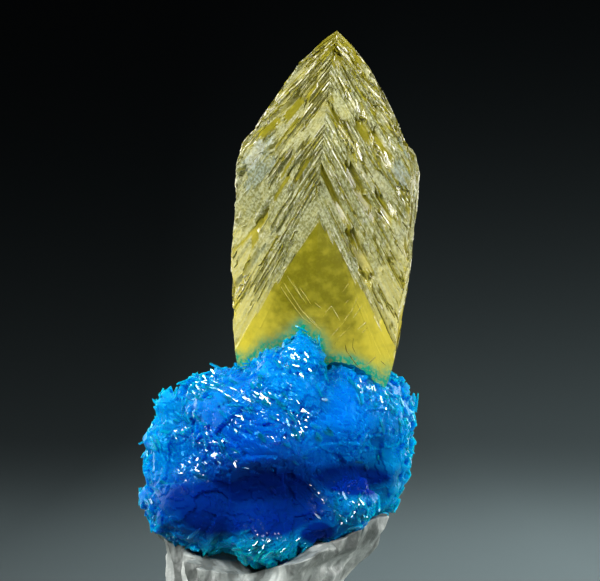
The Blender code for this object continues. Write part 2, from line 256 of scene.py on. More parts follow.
# Places where many blades catch the light: (x, y, z, radius), in millimetres
GLINTS = (
    (-1.7, -5.0, 8.0, 0.8),
    (-2.4, -5.0, 9.3, 0.8),
    (-4.9, -2.0, 10.8, 0.7),
    (-3.4, -4.0, 9.9, 0.9),
    (-1.4, -5.0, 11.3, 0.7),
    (-4.0, -3.0, 8.8, 0.8),
    (6.2, -2.5, 12.2, 0.8),
    (5.3, -3.0, 12.6, 0.8),
    (1.2, -5.0, 11.0, 1.3),
    (-0.6, -5.0, 12.6, 0.9),
    (3.7, -4.0, 6.8, 1.0),
    (-0.2, -4.3, 4.4, 1.0),
    (-3.6, -2.0, 13.1, 0.9),
    (1.5, -5.0, 14.2, 0.8),
    (-2.0, 4.6, 11.5, 1.5),
    (4.0, 4.5, 11.0, 1.3),
    (1.5, 5.5, 8.0, 1.2),
)
# Rows of blades that show as bright lines: (x, z, x, z, count), in millimetres
BRIGHT_ROWS = (
    (2.3, 7.8, 4.15, 6.0, 9),
    (5.3, 7.7, 4.25, 6.1, 6),
    (2.7, 7.2, 4.0, 6.1, 5),
    (4.9, 6.9, 4.5, 6.2, 4),
    (-3.6, 13.5, -1.6, 12.3, 6),
    (-2.9, 13.5, -1.2, 12.6, 4),
    (-0.45, 3.9, 0.0, 4.9, 4),
    (0.5, 4.1, 1.6, 4.9, 4),
    (0.9, 3.9, 1.9, 4.6, 3),
)
LOBE_BLEND = 0.38
BLEND_SHORTFALL = 0.2
GRID_PITCH = 0.1
SHEAVES = 260
SHEAF_SIZE = (1.0, 2.2)
CHUNKS = 2600
CHUNK_SIZE = (0.2, 0.45)
OUTER_ROUGHNESS = 2.2
BLADES = 7000
BLADE_LENGTH = (0.45 * MM, 1.2 * MM)
BLADE_WIDTH = (0.12 * MM, 0.26 * MM)
GLINT_CHANCE = 0.25
# Single blades that stand out of the cluster
STANDING_BLADES = 2200
STANDING_LENGTH = (0.35 * MM, 1.0 * MM)
STANDING_WIDTH = (0.09 * MM, 0.22 * MM)
STANDING_THICKNESS = 0.08 * MM
STANDING_LIFT = (-0.03 * MM, 0.06 * MM)
STANDING_TILT = 0.28
STANDING_GLINT_CHANCE = 0.75
GLINT_LENGTH = (0.15 * MM, 0.5 * MM)
GLINT_WIDTH = (0.04 * MM, 0.1 * MM)
STANDING_LOWEST = 3.7 * MM
BLADE_OUTLINE = np.array([(-1.0, 0.0), (-0.6, 1.0), (0.6, 1.0), (1.0, 0.0), (0.6, -1.0), (-0.6, -1.0)])
SOCKET_GAP = 0.03 * MM
# Width and squash of the painted green band where the blue cluster shows through the calcite
FRINGE_WIDTH = 0.44
FRINGE_SQUASH = np.array((1.0, 0.3, 1.0))

# Putty: (height, centre x, half width, half depth), in millimetres
PUTTY_PROFILE = np.array([
    (0.0, 0.4, 6.3, 5.9),
    (0.35, 0.4, 6.6, 6.2),
    (0.9, 0.3, 6.3, 5.9),
    (1.6, -0.2, 5.4, 5.1),
    (2.5, -0.65, 4.7, 4.6),
    (3.4, -0.35, 5.0, 4.9),
    (4.4, 0.1, 5.6, 5.3),
    (5.3, 0.3, 5.9, 5.5),
    (6.0, 0.4, 5.9, 5.5),
])
PUTTY_CENTRE_Y = 0.6
RIM_HEIGHT = 6.0
RIM_DIP = 3.0
RIM_DIP_TURN = 0.25
PUTTY_FLUTES = 11
PUTTY_COLUMNS = 288
PUTTY_ROWS = 72
PUTTY_BED_ROWS = 24
PUTTY_GAP = 0.12 * MM
# Dents in the putty: (azimuth, height, half azimuth, half height, depth), lengths in millimetres
PUTTY_DENTS = (
    (-0.12, 3.2, 0.36, 0.8, 2.0),
    (0.66, 4.9, 0.07, 0.35, 1.3),
    (0.95, 3.6, 0.2, 0.5, 0.5),
    (2.3, 4.2, 0.3, 0.6, 0.7),
    (3.6, 3.4, 0.25, 0.7, 0.6),
    (4.7, 4.4, 0.2, 0.5, 0.6),
)
PUTTY_FOLDS = 40


# Mesh helpers

def finish_piece(obj, node):
    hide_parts(node)
    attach(obj, "root")


def mesh_object(name, points, faces, smooth=False):
    mesh = bpy.data.meshes.new(name)
    mesh.from_pydata(np.asarray(points).tolist(), [], faces)
    mesh.validate()
    if smooth:
        mesh.shade_smooth()
    obj = bpy.data.objects.new(name, mesh)
    bpy.context.scene.collection.objects.link(obj)
    return obj


def point_attribute(obj, name, values):
    layer = obj.data.attributes.new(name, "FLOAT", "POINT")
    layer.data.foreach_set("value", np.asarray(values, np.float32).ravel())


def ring_faces(rows, columns):
    """Quads between closed rings of points, from the first ring down."""
    here = np.arange(columns)
    beside = (here + 1) % columns
    quads = []
    for row in range(rows - 1):
        top, low = row * columns, (row + 1) * columns
        quads.append(np.stack([top + here, low + here, low + beside, top + beside], axis=1))
    return np.concatenate(quads).tolist()


def fan_faces(ring_start, columns, centre, turned):
    here = ring_start + np.arange(columns)
    beside = ring_start + (np.arange(columns) + 1) % columns
    middle = np.full(columns, centre)
    order = [middle, beside, here] if turned else [middle, here, beside]
    return np.stack(order, axis=1).tolist()


def noise_values(places):
    return np.array([noise.noise(Vector(place)) for place in places])


def unit(vectors):
    return vectors / np.linalg.norm(vectors, axis=-1, keepdims=True)


# Calcite

def from_face(azimuth):
    return np.mod(azimuth + SIXTH, 2 * SIXTH) - SIXTH


def body_reach(azimuth, below):
    from_flat = np.mod(azimuth, SIXTH) - SIXTH / 2
    ridge = np.interp(below, PROFILE_PLACES, PROFILE_RIDGES)
    return ridge * math.cos(SIXTH / 2) / np.cos(from_flat)


def level_below(azimuth, level):
    """The height below the tip where each column meets the plane of a smooth face."""
    low = np.zeros(len(azimuth))
    high = np.full(len(azimuth), level)
    share = np.cos(from_face(azimuth))
    for _ in range(40):
        middle = (low + high) / 2
        short = middle + FACE_STEEPNESS * body_reach(azimuth, middle) * share < level
        low = np.where(short, middle, low)
        high = np.where(short, high, middle)
    return high


def ledge_line(azimuth, side_below):
    """Where each column crosses the straight ledge line that ends at a height on the side ridge."""
    away = from_face(azimuth)
    across = np.abs(away) / SIXTH
    middle_below = np.interp(side_below, LEDGE_SIDES, LEDGE_MIDDLES)
    below = middle_below + across * (side_below - middle_below)
    side_ridge = np.interp(side_below, PROFILE_PLACES, PROFILE_RIDGES)
    ridge = np.interp(below, PROFILE_PLACES, PROFILE_RIDGES)
    sideways = across * side_ridge * math.sin(SIXTH)
    forward = ridge - sideways / math.tan(SIXTH)
    turned = np.copysign(np.arctan2(sideways, forward), away)
    return azimuth - away + turned, np.hypot(sideways, forward), below


def ledge_depths(azimuths, side_below):
    """How far a ledge of the solid steps in, along its length."""
    least, mean, swing = LEDGE_SHARES
    around = np.stack([
        np.cos(azimuths) * LEDGE_SWING_TURNS,
        np.sin(azimuths) * LEDGE_SWING_TURNS,
        np.full(len(azimuths), side_below * LEDGE_SWING_DOWN),
    ], axis=1)
    return LEDGE_DEPTH * np.maximum(least, mean + swing * noise_values(around))


def runs(chance, columns, shortest, longest):
    """A value for each column, from -1 to 1, that changes abruptly after each run of columns."""
    values = np.empty(columns)
    column = 0
    while column < columns:
        length = chance.integers(shortest, longest)
        values[column:column + length] = chance.uniform(-1, 1)
        column += length
    return values


def crystal_points(azimuth, reach, below):
    """Azimuth 0 faces the front, -Y."""
    return np.stack([reach * np.sin(azimuth), -reach * np.cos(azimuth), -below], axis=-1)


def calcite_placing():
    lean = Matrix.Rotation(CALCITE_LEAN, 4, "Y")
    turn = Matrix.Rotation(CALCITE_TURN, 4, "Z")
    return Matrix.Translation(CALCITE_TIP) @ lean @ turn


def placed(points):
    placing = np.array(calcite_placing())
    return points @ placing[:3, :3].T + placing[:3, 3]


def column_places():
    """Azimuth, half face and place along the ledges of each column."""
    columns = 6 * HALF_FACE_COLUMNS
    azimuths = 2 * math.pi * np.arange(columns) / columns
    half = (np.floor(azimuths / SIXTH)).astype(int)
    along = np.abs(from_face(azimuths)) / SIXTH * ALONG_HALF_FACE
    return azimuths, half, along


def side_place(ledge):
    return LEDGE_SIDES[-1] * np.asarray(ledge) / LEDGES


def window_wedge(hand, along):
    return np.interp(along, WEDGE_PLACES, WEDGE_LEFT if hand == "left" else WEDGE_RIGHT)


def front_patches(azimuths, half, along):
    """Half face, ledge and place along it of the patches that stand out on the front."""
    ledges = np.arange(0.1, LEDGES, 0.1)
    lines = []
    for ledge in ledges:
        turned, reach, below = ledge_line(azimuths, side_place(ledge))
        lines.append(placed(crystal_points(turned, reach, below)))
    lines = np.array(lines)
    behind = (half != 0) & (half != 5)
    found = []
    for x, z, across, length, kind in FRONT_PATCHES:
        away = np.hypot(lines[..., 0] - x * MM, lines[..., 2] - z * MM)
        away[:, behind] = 1.0
        row, column = np.unravel_index(away.argmin(), away.shape)
        found.append((half[column], ledges[row], along[column], across, length, kind, 1))
    return found


def patch_table(chance, azimuths, half, along):
    """Half face, ledge, place along it, half sizes, kind and rank of every patch."""
    table = front_patches(azimuths, half, along)
    for side in range(6):
        chances = KIND_CHANCES["edge" if side == 1 else "left" if side % 2 else "right"]
        for _ in range(PATCHES_IN_HALF_FACE):
            place = (chance.uniform(0, LEDGES), chance.uniform(0, ALONG_HALF_FACE))
            kind = chance.choice(len(chances), p=chances)
            if side % 2 and kind == STRIATED and place[1] > CALM_FROM and chance.random() < CALM_CHANCE:
                kind = CALM
            across, length = {FACET: (0.7, 0.35), CALM: (1.3, 1.1)}.get(kind, (1.0, 1.0))
            size = (across * chance.uniform(0.25, 0.7), length * chance.uniform(0.6, 1.6))
            table.append((side, *place, *size, kind, 0))
    return np.array(table, float)


def nearest_patches(table, ledge, half, along):
    """The patch that each column lies in at this place down the ledges; ranked patches come first."""
    found = np.empty(len(along), int)
    for side in range(6):
        mine = np.flatnonzero(table[:, 0] == side)
        columns = half == side
        down = ledge - table[mine, 1]
        across = np.abs(down) / table[mine, 3]
        sideways = np.abs(along[columns, None] - table[mine, 2] + PATCH_SLANT * down) / table[mine, 4]
        away = np.maximum(across, sideways)
        ranked = table[mine, 6] > 0
        away = np.where(ranked, np.where(away < 1, away - 10, 100), away)
        found[columns] = mine[away.argmin(axis=1)]
    return found


def calcite_rows(chance, azimuths, half, along, table):
    """Rows of the stepped faces from the tip down, and the kind and patch that their points lie in."""
    columns = len(azimuths)
    rows, kinds, patches = [], [], []
    wedge = np.where(half % 2 == 1, window_wedge("left", along), window_wedge("right", along))
    for ledge in range(LEDGES):
        cuts = np.cumsum(chance.uniform(0.6, 1.4, STRIAE_IN_LEDGE))
        cuts = np.concatenate([[0], cuts / cuts[-1]])
        ledge_in = ledge_depths(azimuths, side_place(ledge)) if ledge else np.zeros(columns)
        for stria in range(STRIAE_IN_LEDGE):
            place, place_after = ledge + cuts[stria], ledge + cuts[stria + 1]
            patch = nearest_patches(table, place + 0.3 * (place_after - place), half, along)
            kind = np.where(place > LEDGES - wedge, WINDOW, table[patch, 5]).astype(int)
            here, after = side_place(place), side_place(place_after)
            _, _, next_below = ledge_line(azimuths, after)
            shift = 0.3 * (after - here) * runs(chance, columns, 3, 15) if ledge else 0.0
            turned, reach, below = ledge_line(azimuths, np.maximum(here + shift, 0.05 * MM))
            fall = FACE_STEEPNESS * np.cos(from_face(turned))
            room = np.maximum(0.0, 0.6 * (next_below - below) / fall)
            kind[below < TIP_SMOOTH * (1 + 0.4 * runs(chance, columns, 6, 20))] = SMOOTH
            fade = (1 - cuts[stria]) * (kind != WINDOW)
            lying = np.minimum(ledge_in * fade, room) if stria else np.zeros(columns)
            rise = STRIA_DEPTH * (0.9 + 0.55 * runs(chance, columns, 4, 20))
            rise = rise * np.choose(kind, (1.0, 0.1, 0.15, 0.25, 0.5, 0.0))
            if not stria:
                rise = rise + ledge_in * (kind != WINDOW)
            rise = np.minimum(rise, room)
            rows.append((turned, reach - lying, below, place, 0.9))
            rows.append((turned, reach - lying - rise, below + fall * rise, place + 0.05, 0.5))
            middle = here + 0.7 * (after - here) + 0.4 * shift
            turned, reach, below_middle = ledge_line(azimuths, middle)
            below_middle = np.maximum(below_middle, below + fall * rise + 0.004 * MM)
            waver = 0.012 * MM * runs(chance, columns, 1, 7)
            inward = 0.35 * rise + lying + np.abs(waver)
            rows.append((turned, reach - inward, below_middle, place + 0.7 * (place_after - place), 1.0))
            patches += [patch, patch, patch]
            kinds += [kind, kind, kind]
    return rows, np.array(kinds), np.array(patches)


def press_facets(points, kinds, patches, table):
    """Press every patch without striae flat and every facet to a slanting plane, both only inward."""
    chance = np.random.default_rng(21)
    turning = np.array(calcite_placing())[:3, :3]
    across = points[..., :2]
    outward = np.zeros_like(points)
    outward[..., :2] = across / np.maximum(1e-9, np.linalg.norm(across, axis=-1, keepdims=True))
    for number in np.unique(patches):
        kind = table[number, 5]
        if kind in (STRIATED, WINDOW) or (kind in (CALM, COOL) and table[number, 1] < CALM_PRESS_FROM_LEDGE):
            continue
        mine = (patches == number) & (kinds == kind)
        own = points[mine]
        if len(own) < 6:
            continue
        middle = own.mean(axis=0)
        plain = np.linalg.svd(own - middle)[2][2]
        plain = plain * np.sign(plain @ outward[mine].mean(axis=0))
        if kind == SMOOTH and table[number, 0] % 2 == 0 and table[number, 1] > LEAN_FROM_LEDGE:
            facing = unit(plain + 0.04 * chance.normal(0, 1, 3) + SMOOTH_LEAN)
        elif kind != FACET:
            facing = unit(plain + 0.04 * chance.normal(0, 1, 3))
        elif table[number, 6]:
            facing = unit((BROAD_GLINT @ turning) + 0.05 * chance.normal(0, 1, 3))
        else:
            facing = unit(plain + 0.2 * chance.normal(0, 1, 3))
        slope = outward[mine] @ facing
        shift = -((own - middle) @ facing) / np.maximum(0.3, slope)
        shift = np.clip(shift - np.quantile(shift, 0.9), -FACET_DEEPEST, 0.0)
        if kind == SMOOTH:
            shift = shift - SMOOTH_PRESS
        else:
            shift = shift - FACET_ROUGH * chance.random(len(shift))
        points[mine] = own + outward[mine] * shift[:, None]


def notch_ridges(points, kinds):
    """Cut small flat notches across the six ridges, in place; some are clear, some frosted."""
    chance = np.random.default_rng(31)
    below = -points[..., 2]
    azimuths = np.arctan2(points[..., 0], -points[..., 1])
    for ridge in range(6):
        from_ridge = np.abs(np.mod(azimuths - ridge * SIXTH + math.pi, 2 * math.pi) - math.pi)
        on_ledge = below + NOTCH_FALL * from_ridge * (1 if ridge % 2 else -1)
        for _ in range(RIDGE_NOTCHES[ridge % 2]):
            middle = chance.uniform(*NOTCH_PLACES)
            half_height = chance.uniform(*NOTCH_HALF_HEIGHT)
            reach = np.interp([middle - half_height, middle, middle + half_height], PROFILE_PLACES, PROFILE_RIDGES)
            leaning = (reach[2] - reach[0]) / (2 * half_height)
            turn = ridge * SIXTH + chance.normal(0, 0.22)
            facing = unit(np.array((math.sin(turn), -math.cos(turn), leaning + chance.normal(0, 0.2))))
            depth = chance.uniform(*NOTCH_DEPTH) * min(1.0, middle / (4 * MM))
            kind = chance.choice((STRIATED, SMOOTH, FACET, COOL), p=NOTCH_KIND_CHANCES[ridge % 2])
            start = crystal_points(ridge * SIXTH, reach[1] - depth, middle)
            beyond = (points - start) @ facing
            mine = (beyond > 0) & (np.abs(on_ledge - middle) < half_height) & (from_ridge < 0.4)
            outward = np.zeros((mine.sum(), 3))
            outward[:, 0], outward[:, 1] = np.sin(azimuths[mine]), -np.cos(azimuths[mine])
            points[mine] -= outward * (beyond[mine] / (outward @ facing))[:, None]
            kinds[mine] = kind


def end_at_window(points, last_level):
    """Keep the stepped rows above the smooth faces' upper edge, in place."""
    azimuths = np.arctan2(points[..., 0], -points[..., 1])
    edge = level_below(azimuths.ravel(), last_level).reshape(azimuths.shape)
    below = -points[..., 2]
    rows_left = np.arange(len(points), 0, -1)[:, None]
    lowest = edge - WINDOW_ROW_GAP * rows_left
    past = below > lowest
    reach = np.minimum(np.hypot(points[..., 0], points[..., 1]), body_reach(azimuths, lowest))
    held = crystal_points(azimuths, reach, lowest)
    points[past] = held[past]


def round_window_edge(points, last_level):
    """Ease the corner between the ridged body and the smooth faces, only inward."""
    azimuths = np.arctan2(points[..., 0], -points[..., 1])
    below = -points[..., 2]
    reach = np.hypot(points[..., 0], points[..., 1])
    plane_reach = (last_level - below) / (FACE_STEEPNESS * np.cos(from_face(azimuths)))
    gap = np.abs(plane_reach - body_reach(azimuths, below))
    eased = reach - WINDOW_EDGE_ROUND * np.log1p(np.exp(-gap / WINDOW_EDGE_ROUND))
    points[..., :2] *= (np.maximum(eased, 0.01 * MM) / np.maximum(reach, 0.01 * MM))[..., None]


def smooth_face_rows(azimuths, edge, last_level):
    """Rows from the faces' pointed upper edge down to the cut base, all in the faces' planes."""
    facing = azimuths - from_face(azimuths)
    out = np.stack([np.sin(facing), -np.cos(facing)], axis=-1)
    along = np.stack([np.cos(facing), np.sin(facing)], axis=-1)
    start_out = (edge[:, :2] * out).sum(axis=1)
    start_along = (edge[:, :2] * along).sum(axis=1)
    end_out = (last_level - CALCITE_LENGTH) / FACE_STEEPNESS
    end_along = start_along * (end_out * math.tan(SIXTH)) / np.abs(start_along).max()
    rows = []
    for row in range(1, FACE_ROWS + 1):
        share = row / FACE_ROWS
        reach_out = start_out + (end_out - start_out) * share
        reach_along = start_along + (end_along - start_along) * share
        below = last_level - FACE_STEEPNESS * reach_out
        plan = out * reach_out[:, None] + along * reach_along[:, None]
        rows.append(np.concatenate([plan, -below[:, None]], axis=1))
    return rows


def distance_to(others, points):
    """The distance from each point to the nearest of the others, with depth counted less."""
    tree = KDTree(len(others))
    for index, other in enumerate(others * FRINGE_SQUASH):
        tree.insert(other, index)
    tree.balance()
    return np.array([tree.find(point)[2] for point in points * FRINGE_SQUASH])


def make_calcite(cluster):
    chance = np.random.default_rng(3)
    azimuths, half, along = column_places()
    columns = len(azimuths)
    table = patch_table(chance, azimuths, half, along)
    rows, kind, patches = calcite_rows(chance, azimuths, half, along, table)
    rings = np.array([crystal_points(row[0], np.maximum(row[1], 0.01 * MM), row[2]) for row in rows])
    press_facets(rings, kind, patches, table)
    notch_ridges(rings, kind)
    end_at_window(rings, LAST_LEVEL)
    edge_frost = np.array([row[4] for row in rows])[:, None]
    frost = edge_frost * np.choose(kind, (1.0, 0.05, 0.35, 0.85, 0.8, 0.0))
    upper = np.clip(2.0 + rings[..., 2] / (4 * MM), 0, 1) * (half % 2)
    frost = frost * (1 - UPPER_CLEARNESS * upper)
    haze = np.choose(kind, (1.0, 0.5, 0.2, 0.9, 0.8, WINDOW_HAZE))
    cool = np.where(kind == COOL, 1.0, 0.0)
    lined = np.choose(kind, (1.0, 0.0, 0.1, 0.15, 0.15, 0.0))
    ledge = np.repeat([[row[3]] for row in rows], columns, axis=1)

    edge_below = level_below(azimuths, LAST_LEVEL)
    edge = crystal_points(azimuths, body_reach(azimuths, edge_below), edge_below)
    plain = [edge] + smooth_face_rows(azimuths, edge, LAST_LEVEL)
    rings = np.concatenate([rings, plain])
    round_window_edge(rings, LAST_LEVEL)
    count = len(rings)
    ends = np.array([[0.0, 0.0, 0.0], [0.0, 0.0, -CALCITE_LENGTH]])
    points = placed(np.concatenate([rings.reshape(-1, 3), ends]))
    faces = ring_faces(count, columns)
    faces += fan_faces(0, columns, count * columns, turned=False)
    faces += fan_faces((count - 1) * columns, columns, count * columns + 1, turned=True)
    obj = mesh_object("calcite_stepped", points, faces)

    def spread(values, below_steps):
        rest = np.full((1 + FACE_ROWS, columns), below_steps)
        return np.concatenate([np.concatenate([values, rest]).ravel(), [below_steps, below_steps]])

    below = -rings[..., 2] / MM
    sideways = np.tile(along, (count, 1))
    # Painted light: a bright milky yellow glow towards the lower sides and the base, light shining through milky
    # cloudiness
    milky_glow = np.clip((below - 9.0) / 6.0, 0, 1) * np.clip((sideways - 2.5) / 4.0, 0, 1)
    milky_glow = np.maximum(milky_glow, 0.55 * np.clip((below - 14.3) / 2.2, 0, 1))
    point_attribute(obj, "frost", spread(frost, 0.0))
    point_attribute(obj, "haze", spread(haze, WINDOW_HAZE))
    point_attribute(obj, "cool", spread(cool, 0.0))
    point_attribute(obj, "lined", spread(lined, 0.0))
    point_attribute(obj, "ledge", spread(ledge, float(LEDGES)))
    point_attribute(obj, "along", np.concatenate([sideways.ravel() + 20 * np.tile(half, count), [0.0, 0.0]]))
    point_attribute(obj, "milky_glow", np.concatenate([milky_glow.ravel(), [0.0, 1.0]]))
    # Painted: the blue cluster seen through the yellow calcite, as a green band near it
    near = distance_to(cluster, points) / MM
    point_attribute(obj, "blue_seen_through", np.minimum(1.0, 1.7 * np.exp(-(near / FRINGE_WIDTH) ** 2)))
    obj.data.materials.append(calcite_material())
    finish_piece(obj, "calcite_crystal")
    return BVHTree.FromPolygons(points.tolist(), faces), table


def front_hits(tree, places):
    """Points and normals of the crystal's front along a line of (x, z) places, in millimetres."""
    places = np.array(places, float) * MM
    lengths = np.concatenate([[0], np.cumsum(np.linalg.norm(np.diff(places, axis=0), axis=1))])
    steps = np.linspace(0, lengths[-1], max(3, int(lengths[-1] / HAIRLINE_STEP)))
    hits = []
    for x, z in zip(*(np.interp(steps, lengths, places[:, i]) for i in (0, 1))):
        hit, normal, _, _ = tree.ray_cast(Vector((x, -0.1, z)), Vector((0, 1, 0)))
        if hit is not None:
            hits.append((hit, normal))
    return hits


def growth_hits(tree, table, chance):
    """Lines on every half face that follow its ledges, above the smooth faces: (tone, width, hits)."""
    found = []
    for side in range(6):
        hand = "left" if side % 2 else "right"
        for _ in range(GROWTH_LINES[hand]):
            start = (ALONG_HALF_FACE - 0.5) * chance.random() ** GROWTH_LINE_GATHERING[hand]
            along = np.linspace(start, start + chance.uniform(*GROWTH_LINE_LENGTH), GROWTH_LINE_STEPS)
            along = np.minimum(along, ALONG_HALF_FACE)
            ledge = chance.uniform(1.6, LEDGES - window_wedge(hand, start) - 0.1)
            middle = along[GROWTH_LINE_STEPS // 2:GROWTH_LINE_STEPS // 2 + 1]
            patch = nearest_patches(table, ledge, np.array([side]), middle)[0]
            if table[patch, 5] in (SMOOTH, CALM, COOL) and chance.random() < CALM_LINE_LOSS:
                continue
            share = along / ALONG_HALF_FACE
            azimuths = SIXTH * (side + 1 - share if side % 2 else side + share)
            places = placed(crystal_points(*ledge_line(azimuths, side_place(ledge))))
            hits = [tree.find_nearest(Vector(place))[:2] for place in places]
            normal = sum((hit[1] for hit in hits), Vector()).normalized()
            tone = 0.0 if chance.random() < DARK_LINE_SHARE else chance.uniform(0.75, 1.0)
            width = chance.uniform(0.04, 0.08) * (1.0 if tone else 1.5)
            found.append((tone, width, [(place, normal) for place, _ in hits]))
    return found


def hairline(hits, width, lift):
    """Points and faces of a thin raised line through points of a surface, tapered at both ends."""
    ring_points, faces = [], []
    for index, (hit, normal) in enumerate(hits):
        before, after = hits[max(0, index - 1)][0], hits[min(len(hits) - 1, index + 1)][0]
        sideways = (after - before).cross(normal).normalized()
        taper = math.sin(math.pi * index / (len(hits) - 1))
        half = width * MM / 2 * (0.15 + 0.85 * max(0.0, taper) ** 0.5)
        under = hit - normal * lift / 2
        ring_points += [under + sideways * half, hit + normal * lift, under - sideways * half]
        if index:
            low = 3 * (index - 1)
            for corner in range(3):
                beside = (corner + 1) % 3
                faces.append([low + corner, low + beside, low + 3 + beside, low + 3 + corner])
    last = len(ring_points) - 3
    faces += [[2, 1, 0], [last, last + 1, last + 2]]
    return ring_points, faces


def make_hairlines(tree, table):
    """Bright healed lines and dark cracks just at the surface, and the crisp edges of the finest growth steps."""
    chance = np.random.default_rng(17)
    lines = [(tone, width, front_hits(tree, places), HAIRLINE_LIFT) for tone, width, places in HAIRLINES]
    lines += [(*line, GROWTH_LINE_LIFT) for line in growth_hits(tree, table, chance)]
    points, faces, tones = [], [], []
    for tone, width, hits, lift in lines:
        own_points, own_faces = hairline(hits, width, lift)
        faces += [[corner + len(points) for corner in face] for face in own_faces]
        points += [list(point) for point in own_points]
        tones += [tone] * len(own_points)
    obj = mesh_object("calcite_hairlines", points, faces)
    point_attribute(obj, "tone", tones)
    obj.data.materials.append(hairline_material())
    finish_piece(obj, "calcite_crystal")


# Cavansite

def cluster_field(places):
    """About how far places lie outside the blended lobes, in millimetres."""
    total = np.zeros(len(places), np.float32)
    for lobe in LOBES.astype(np.float32):
        offset = (places - lobe[:3]) / lobe[3:6]
        size = np.sqrt((offset * offset).sum(axis=1)) + 1e-6
        slope = np.sqrt(((offset / lobe[3:6]) ** 2).sum(axis=1)) + 1e-6
        away = np.minimum(size * (size - 1) / slope, 8.0)
        total += np.exp(-away / LOBE_BLEND)
    field = BLEND_SHORTFALL - LOBE_BLEND * np.log(np.maximum(total, 1e-9))
    for x, y, z, size, depth in HOLLOWS:
        away = np.linalg.norm(places - np.array((x, y, z), np.float32), axis=1) / size
        field = field + depth * np.exp(-away * away)
    return field


def surface_net(field):
    """Points, in grid steps, and quads of the closed surface where a grid of values changes sign."""
    corners = np.array([(i, j, k) for i in (0, 1) for j in (0, 1) for k in (0, 1)])
    shape = np.array(field.shape) - 1
    spans = [field[i:i + shape[0], j:j + shape[1], k:k + shape[2]] < 0 for i, j, k in corners]
    filled = np.sum(spans, axis=0, dtype=np.int8)
    cells = np.argwhere((filled > 0) & (filled < 8))
    values = np.stack([field[tuple((cells + corner).T)] for corner in corners], axis=1)
    total, count = np.zeros((len(cells), 3)), np.zeros(len(cells))
    for first in range(8):
        for second in range(first + 1, 8):
            step = corners[second] - corners[first]
            if np.abs(step).sum() != 1:
                continue
            start, end = values[:, first], values[:, second]
            crossed = (start < 0) != (end < 0)
            share = np.where(crossed, start / np.where(crossed, start - end, 1.0), 0.0)
            total += crossed[:, None] * (corners[first] + share[:, None] * step)
            count += crossed
    number = np.full(shape, -1)
    number[tuple(cells.T)] = np.arange(len(cells))
    quads = []
    for axis in range(3):
        low = np.take(field, range(shape[axis]), axis=axis) < 0
        high = np.take(field, range(1, shape[axis] + 1), axis=axis) < 0
        edges = np.argwhere(low != high)
        leaving = low[tuple(edges.T)]
        one, two = np.eye(3, dtype=int)[(axis + 1) % 3], np.eye(3, dtype=int)[(axis + 2) % 3]
        around = [number[tuple(place.T)] for place in (edges, edges - one, edges - one - two, edges - two)]
        quad = np.stack(around, axis=1)
        quads.append(np.where(leaving[:, None], quad, quad[:, ::-1]))
    return cells + total / count[:, None], np.concatenate(quads)


def cluster_surface():
    """Points and quads of the smooth cluster, in metres."""
    low = (LOBES[:, :3] - LOBES[:, 3:6]).min(axis=0) - 0.6
    high = (LOBES[:, :3] + LOBES[:, 3:6]).max(axis=0) + 0.6
    counts = np.ceil((high - low) / GRID_PITCH).astype(int)
    steps = [np.arange(count, dtype=np.float32) * GRID_PITCH for count in counts]
    across, up = np.meshgrid(low[1] + steps[1], low[2] + steps[2], indexing="ij")
    slabs = []
    for x in low[0] + steps[0]:
        places = np.stack([np.full(across.size, x), across.ravel(), up.ravel()], axis=1).astype(np.float32)
        slabs.append(cluster_field(places).reshape(across.shape))
    points, quads = surface_net(np.array(slabs))
    return (low + points * GRID_PITCH) * MM, quads


def nearest_blades(points, seeds, along, side, length, width, tried=10):
    """For each point, the blade whose long narrow footprint it lies in, and its place across and along it."""
    tree = KDTree(len(seeds))
    for index, seed in enumerate(seeds):
        tree.insert(seed, index)
    tree.balance()
    found = np.array([[index for _, index, _ in tree.find_n(point, tried)] for point in points])
    offset = points[:, None, :] - seeds[found]
    u = (offset * along[found]).sum(axis=2)
    v = (offset * side[found]).sum(axis=2)
    best = ((u / length[found]) ** 2 + (v / width[found]) ** 2).argmin(axis=1)
    rows = np.arange(len(points))
    return found[rows, best], u[rows, best], v[rows, best]


def blade_ways(places):
    """The way that blades run: down to the right, steeper on the right, and up to the right near the foot."""
    x, z = places[:, 0] / MM, places[:, 2] / MM
    down = np.where(z < 6.0, 0.62, -0.62 - 0.25 * np.clip((x - 3) / 2, 0, 1))
    across = 0.75 - 0.45 * np.clip((x - 3) / 2, 0, 1)
    return np.stack([across, np.full(len(x), -0.1), down], axis=1)


def tangent(ways, normals):
    return unit(ways - normals * (ways * normals).sum(axis=1)[:, None])


def blob_share(points, blobs, strength=1.5):
    """1 in the middle of the nearest blob, falling to 0 outside it."""
    share = np.zeros(len(points))
    for blob in blobs:
        size = np.array(blob[3:6]) if len(blob) == 6 else blob[3]
        away = ((points / MM - np.array(blob[:3])) / size) ** 2
        share = np.maximum(share, np.exp(-away.sum(axis=1)))
    return np.minimum(1.0, strength * share)


# Painted light: the teal glow of light shining through the thin outer lobes, by lobe
def teal_glow_share(points):
    weights = []
    for lobe in LOBES:
        away = np.linalg.norm((points / MM - lobe[:3]) / lobe[3:6], axis=1)
        weights.append(np.exp(-4 * away))
    weights = np.array(weights)
    return (weights * LOBES[:, 6][:, None]).sum(axis=0) / weights.sum(axis=0)


def relief(chance, points, normals, count, size, drop, tilt, stray):
    """Flat pieces at random levels and tilts: which one each point is on, how far it is raised, and their ways."""
    picked = chance.choice(len(points), count, replace=False)
    seeds, outward = points[picked], normals[picked]
    along = tangent(blade_ways(seeds) + stray * chance.normal(0, 1, (count, 3)), outward)
    side = np.cross(outward, along)
    own_size = chance.uniform(*size, count)
    piece, u, v = nearest_blades(points, seeds, along, side, 1.4 * own_size, own_size)
    level = chance.uniform(-drop, 0.0, count) * MM
    tilts = chance.uniform(-tilt, tilt, (2, count))
    return piece, level[piece] + tilts[0][piece] * u + tilts[1][piece] * v, along


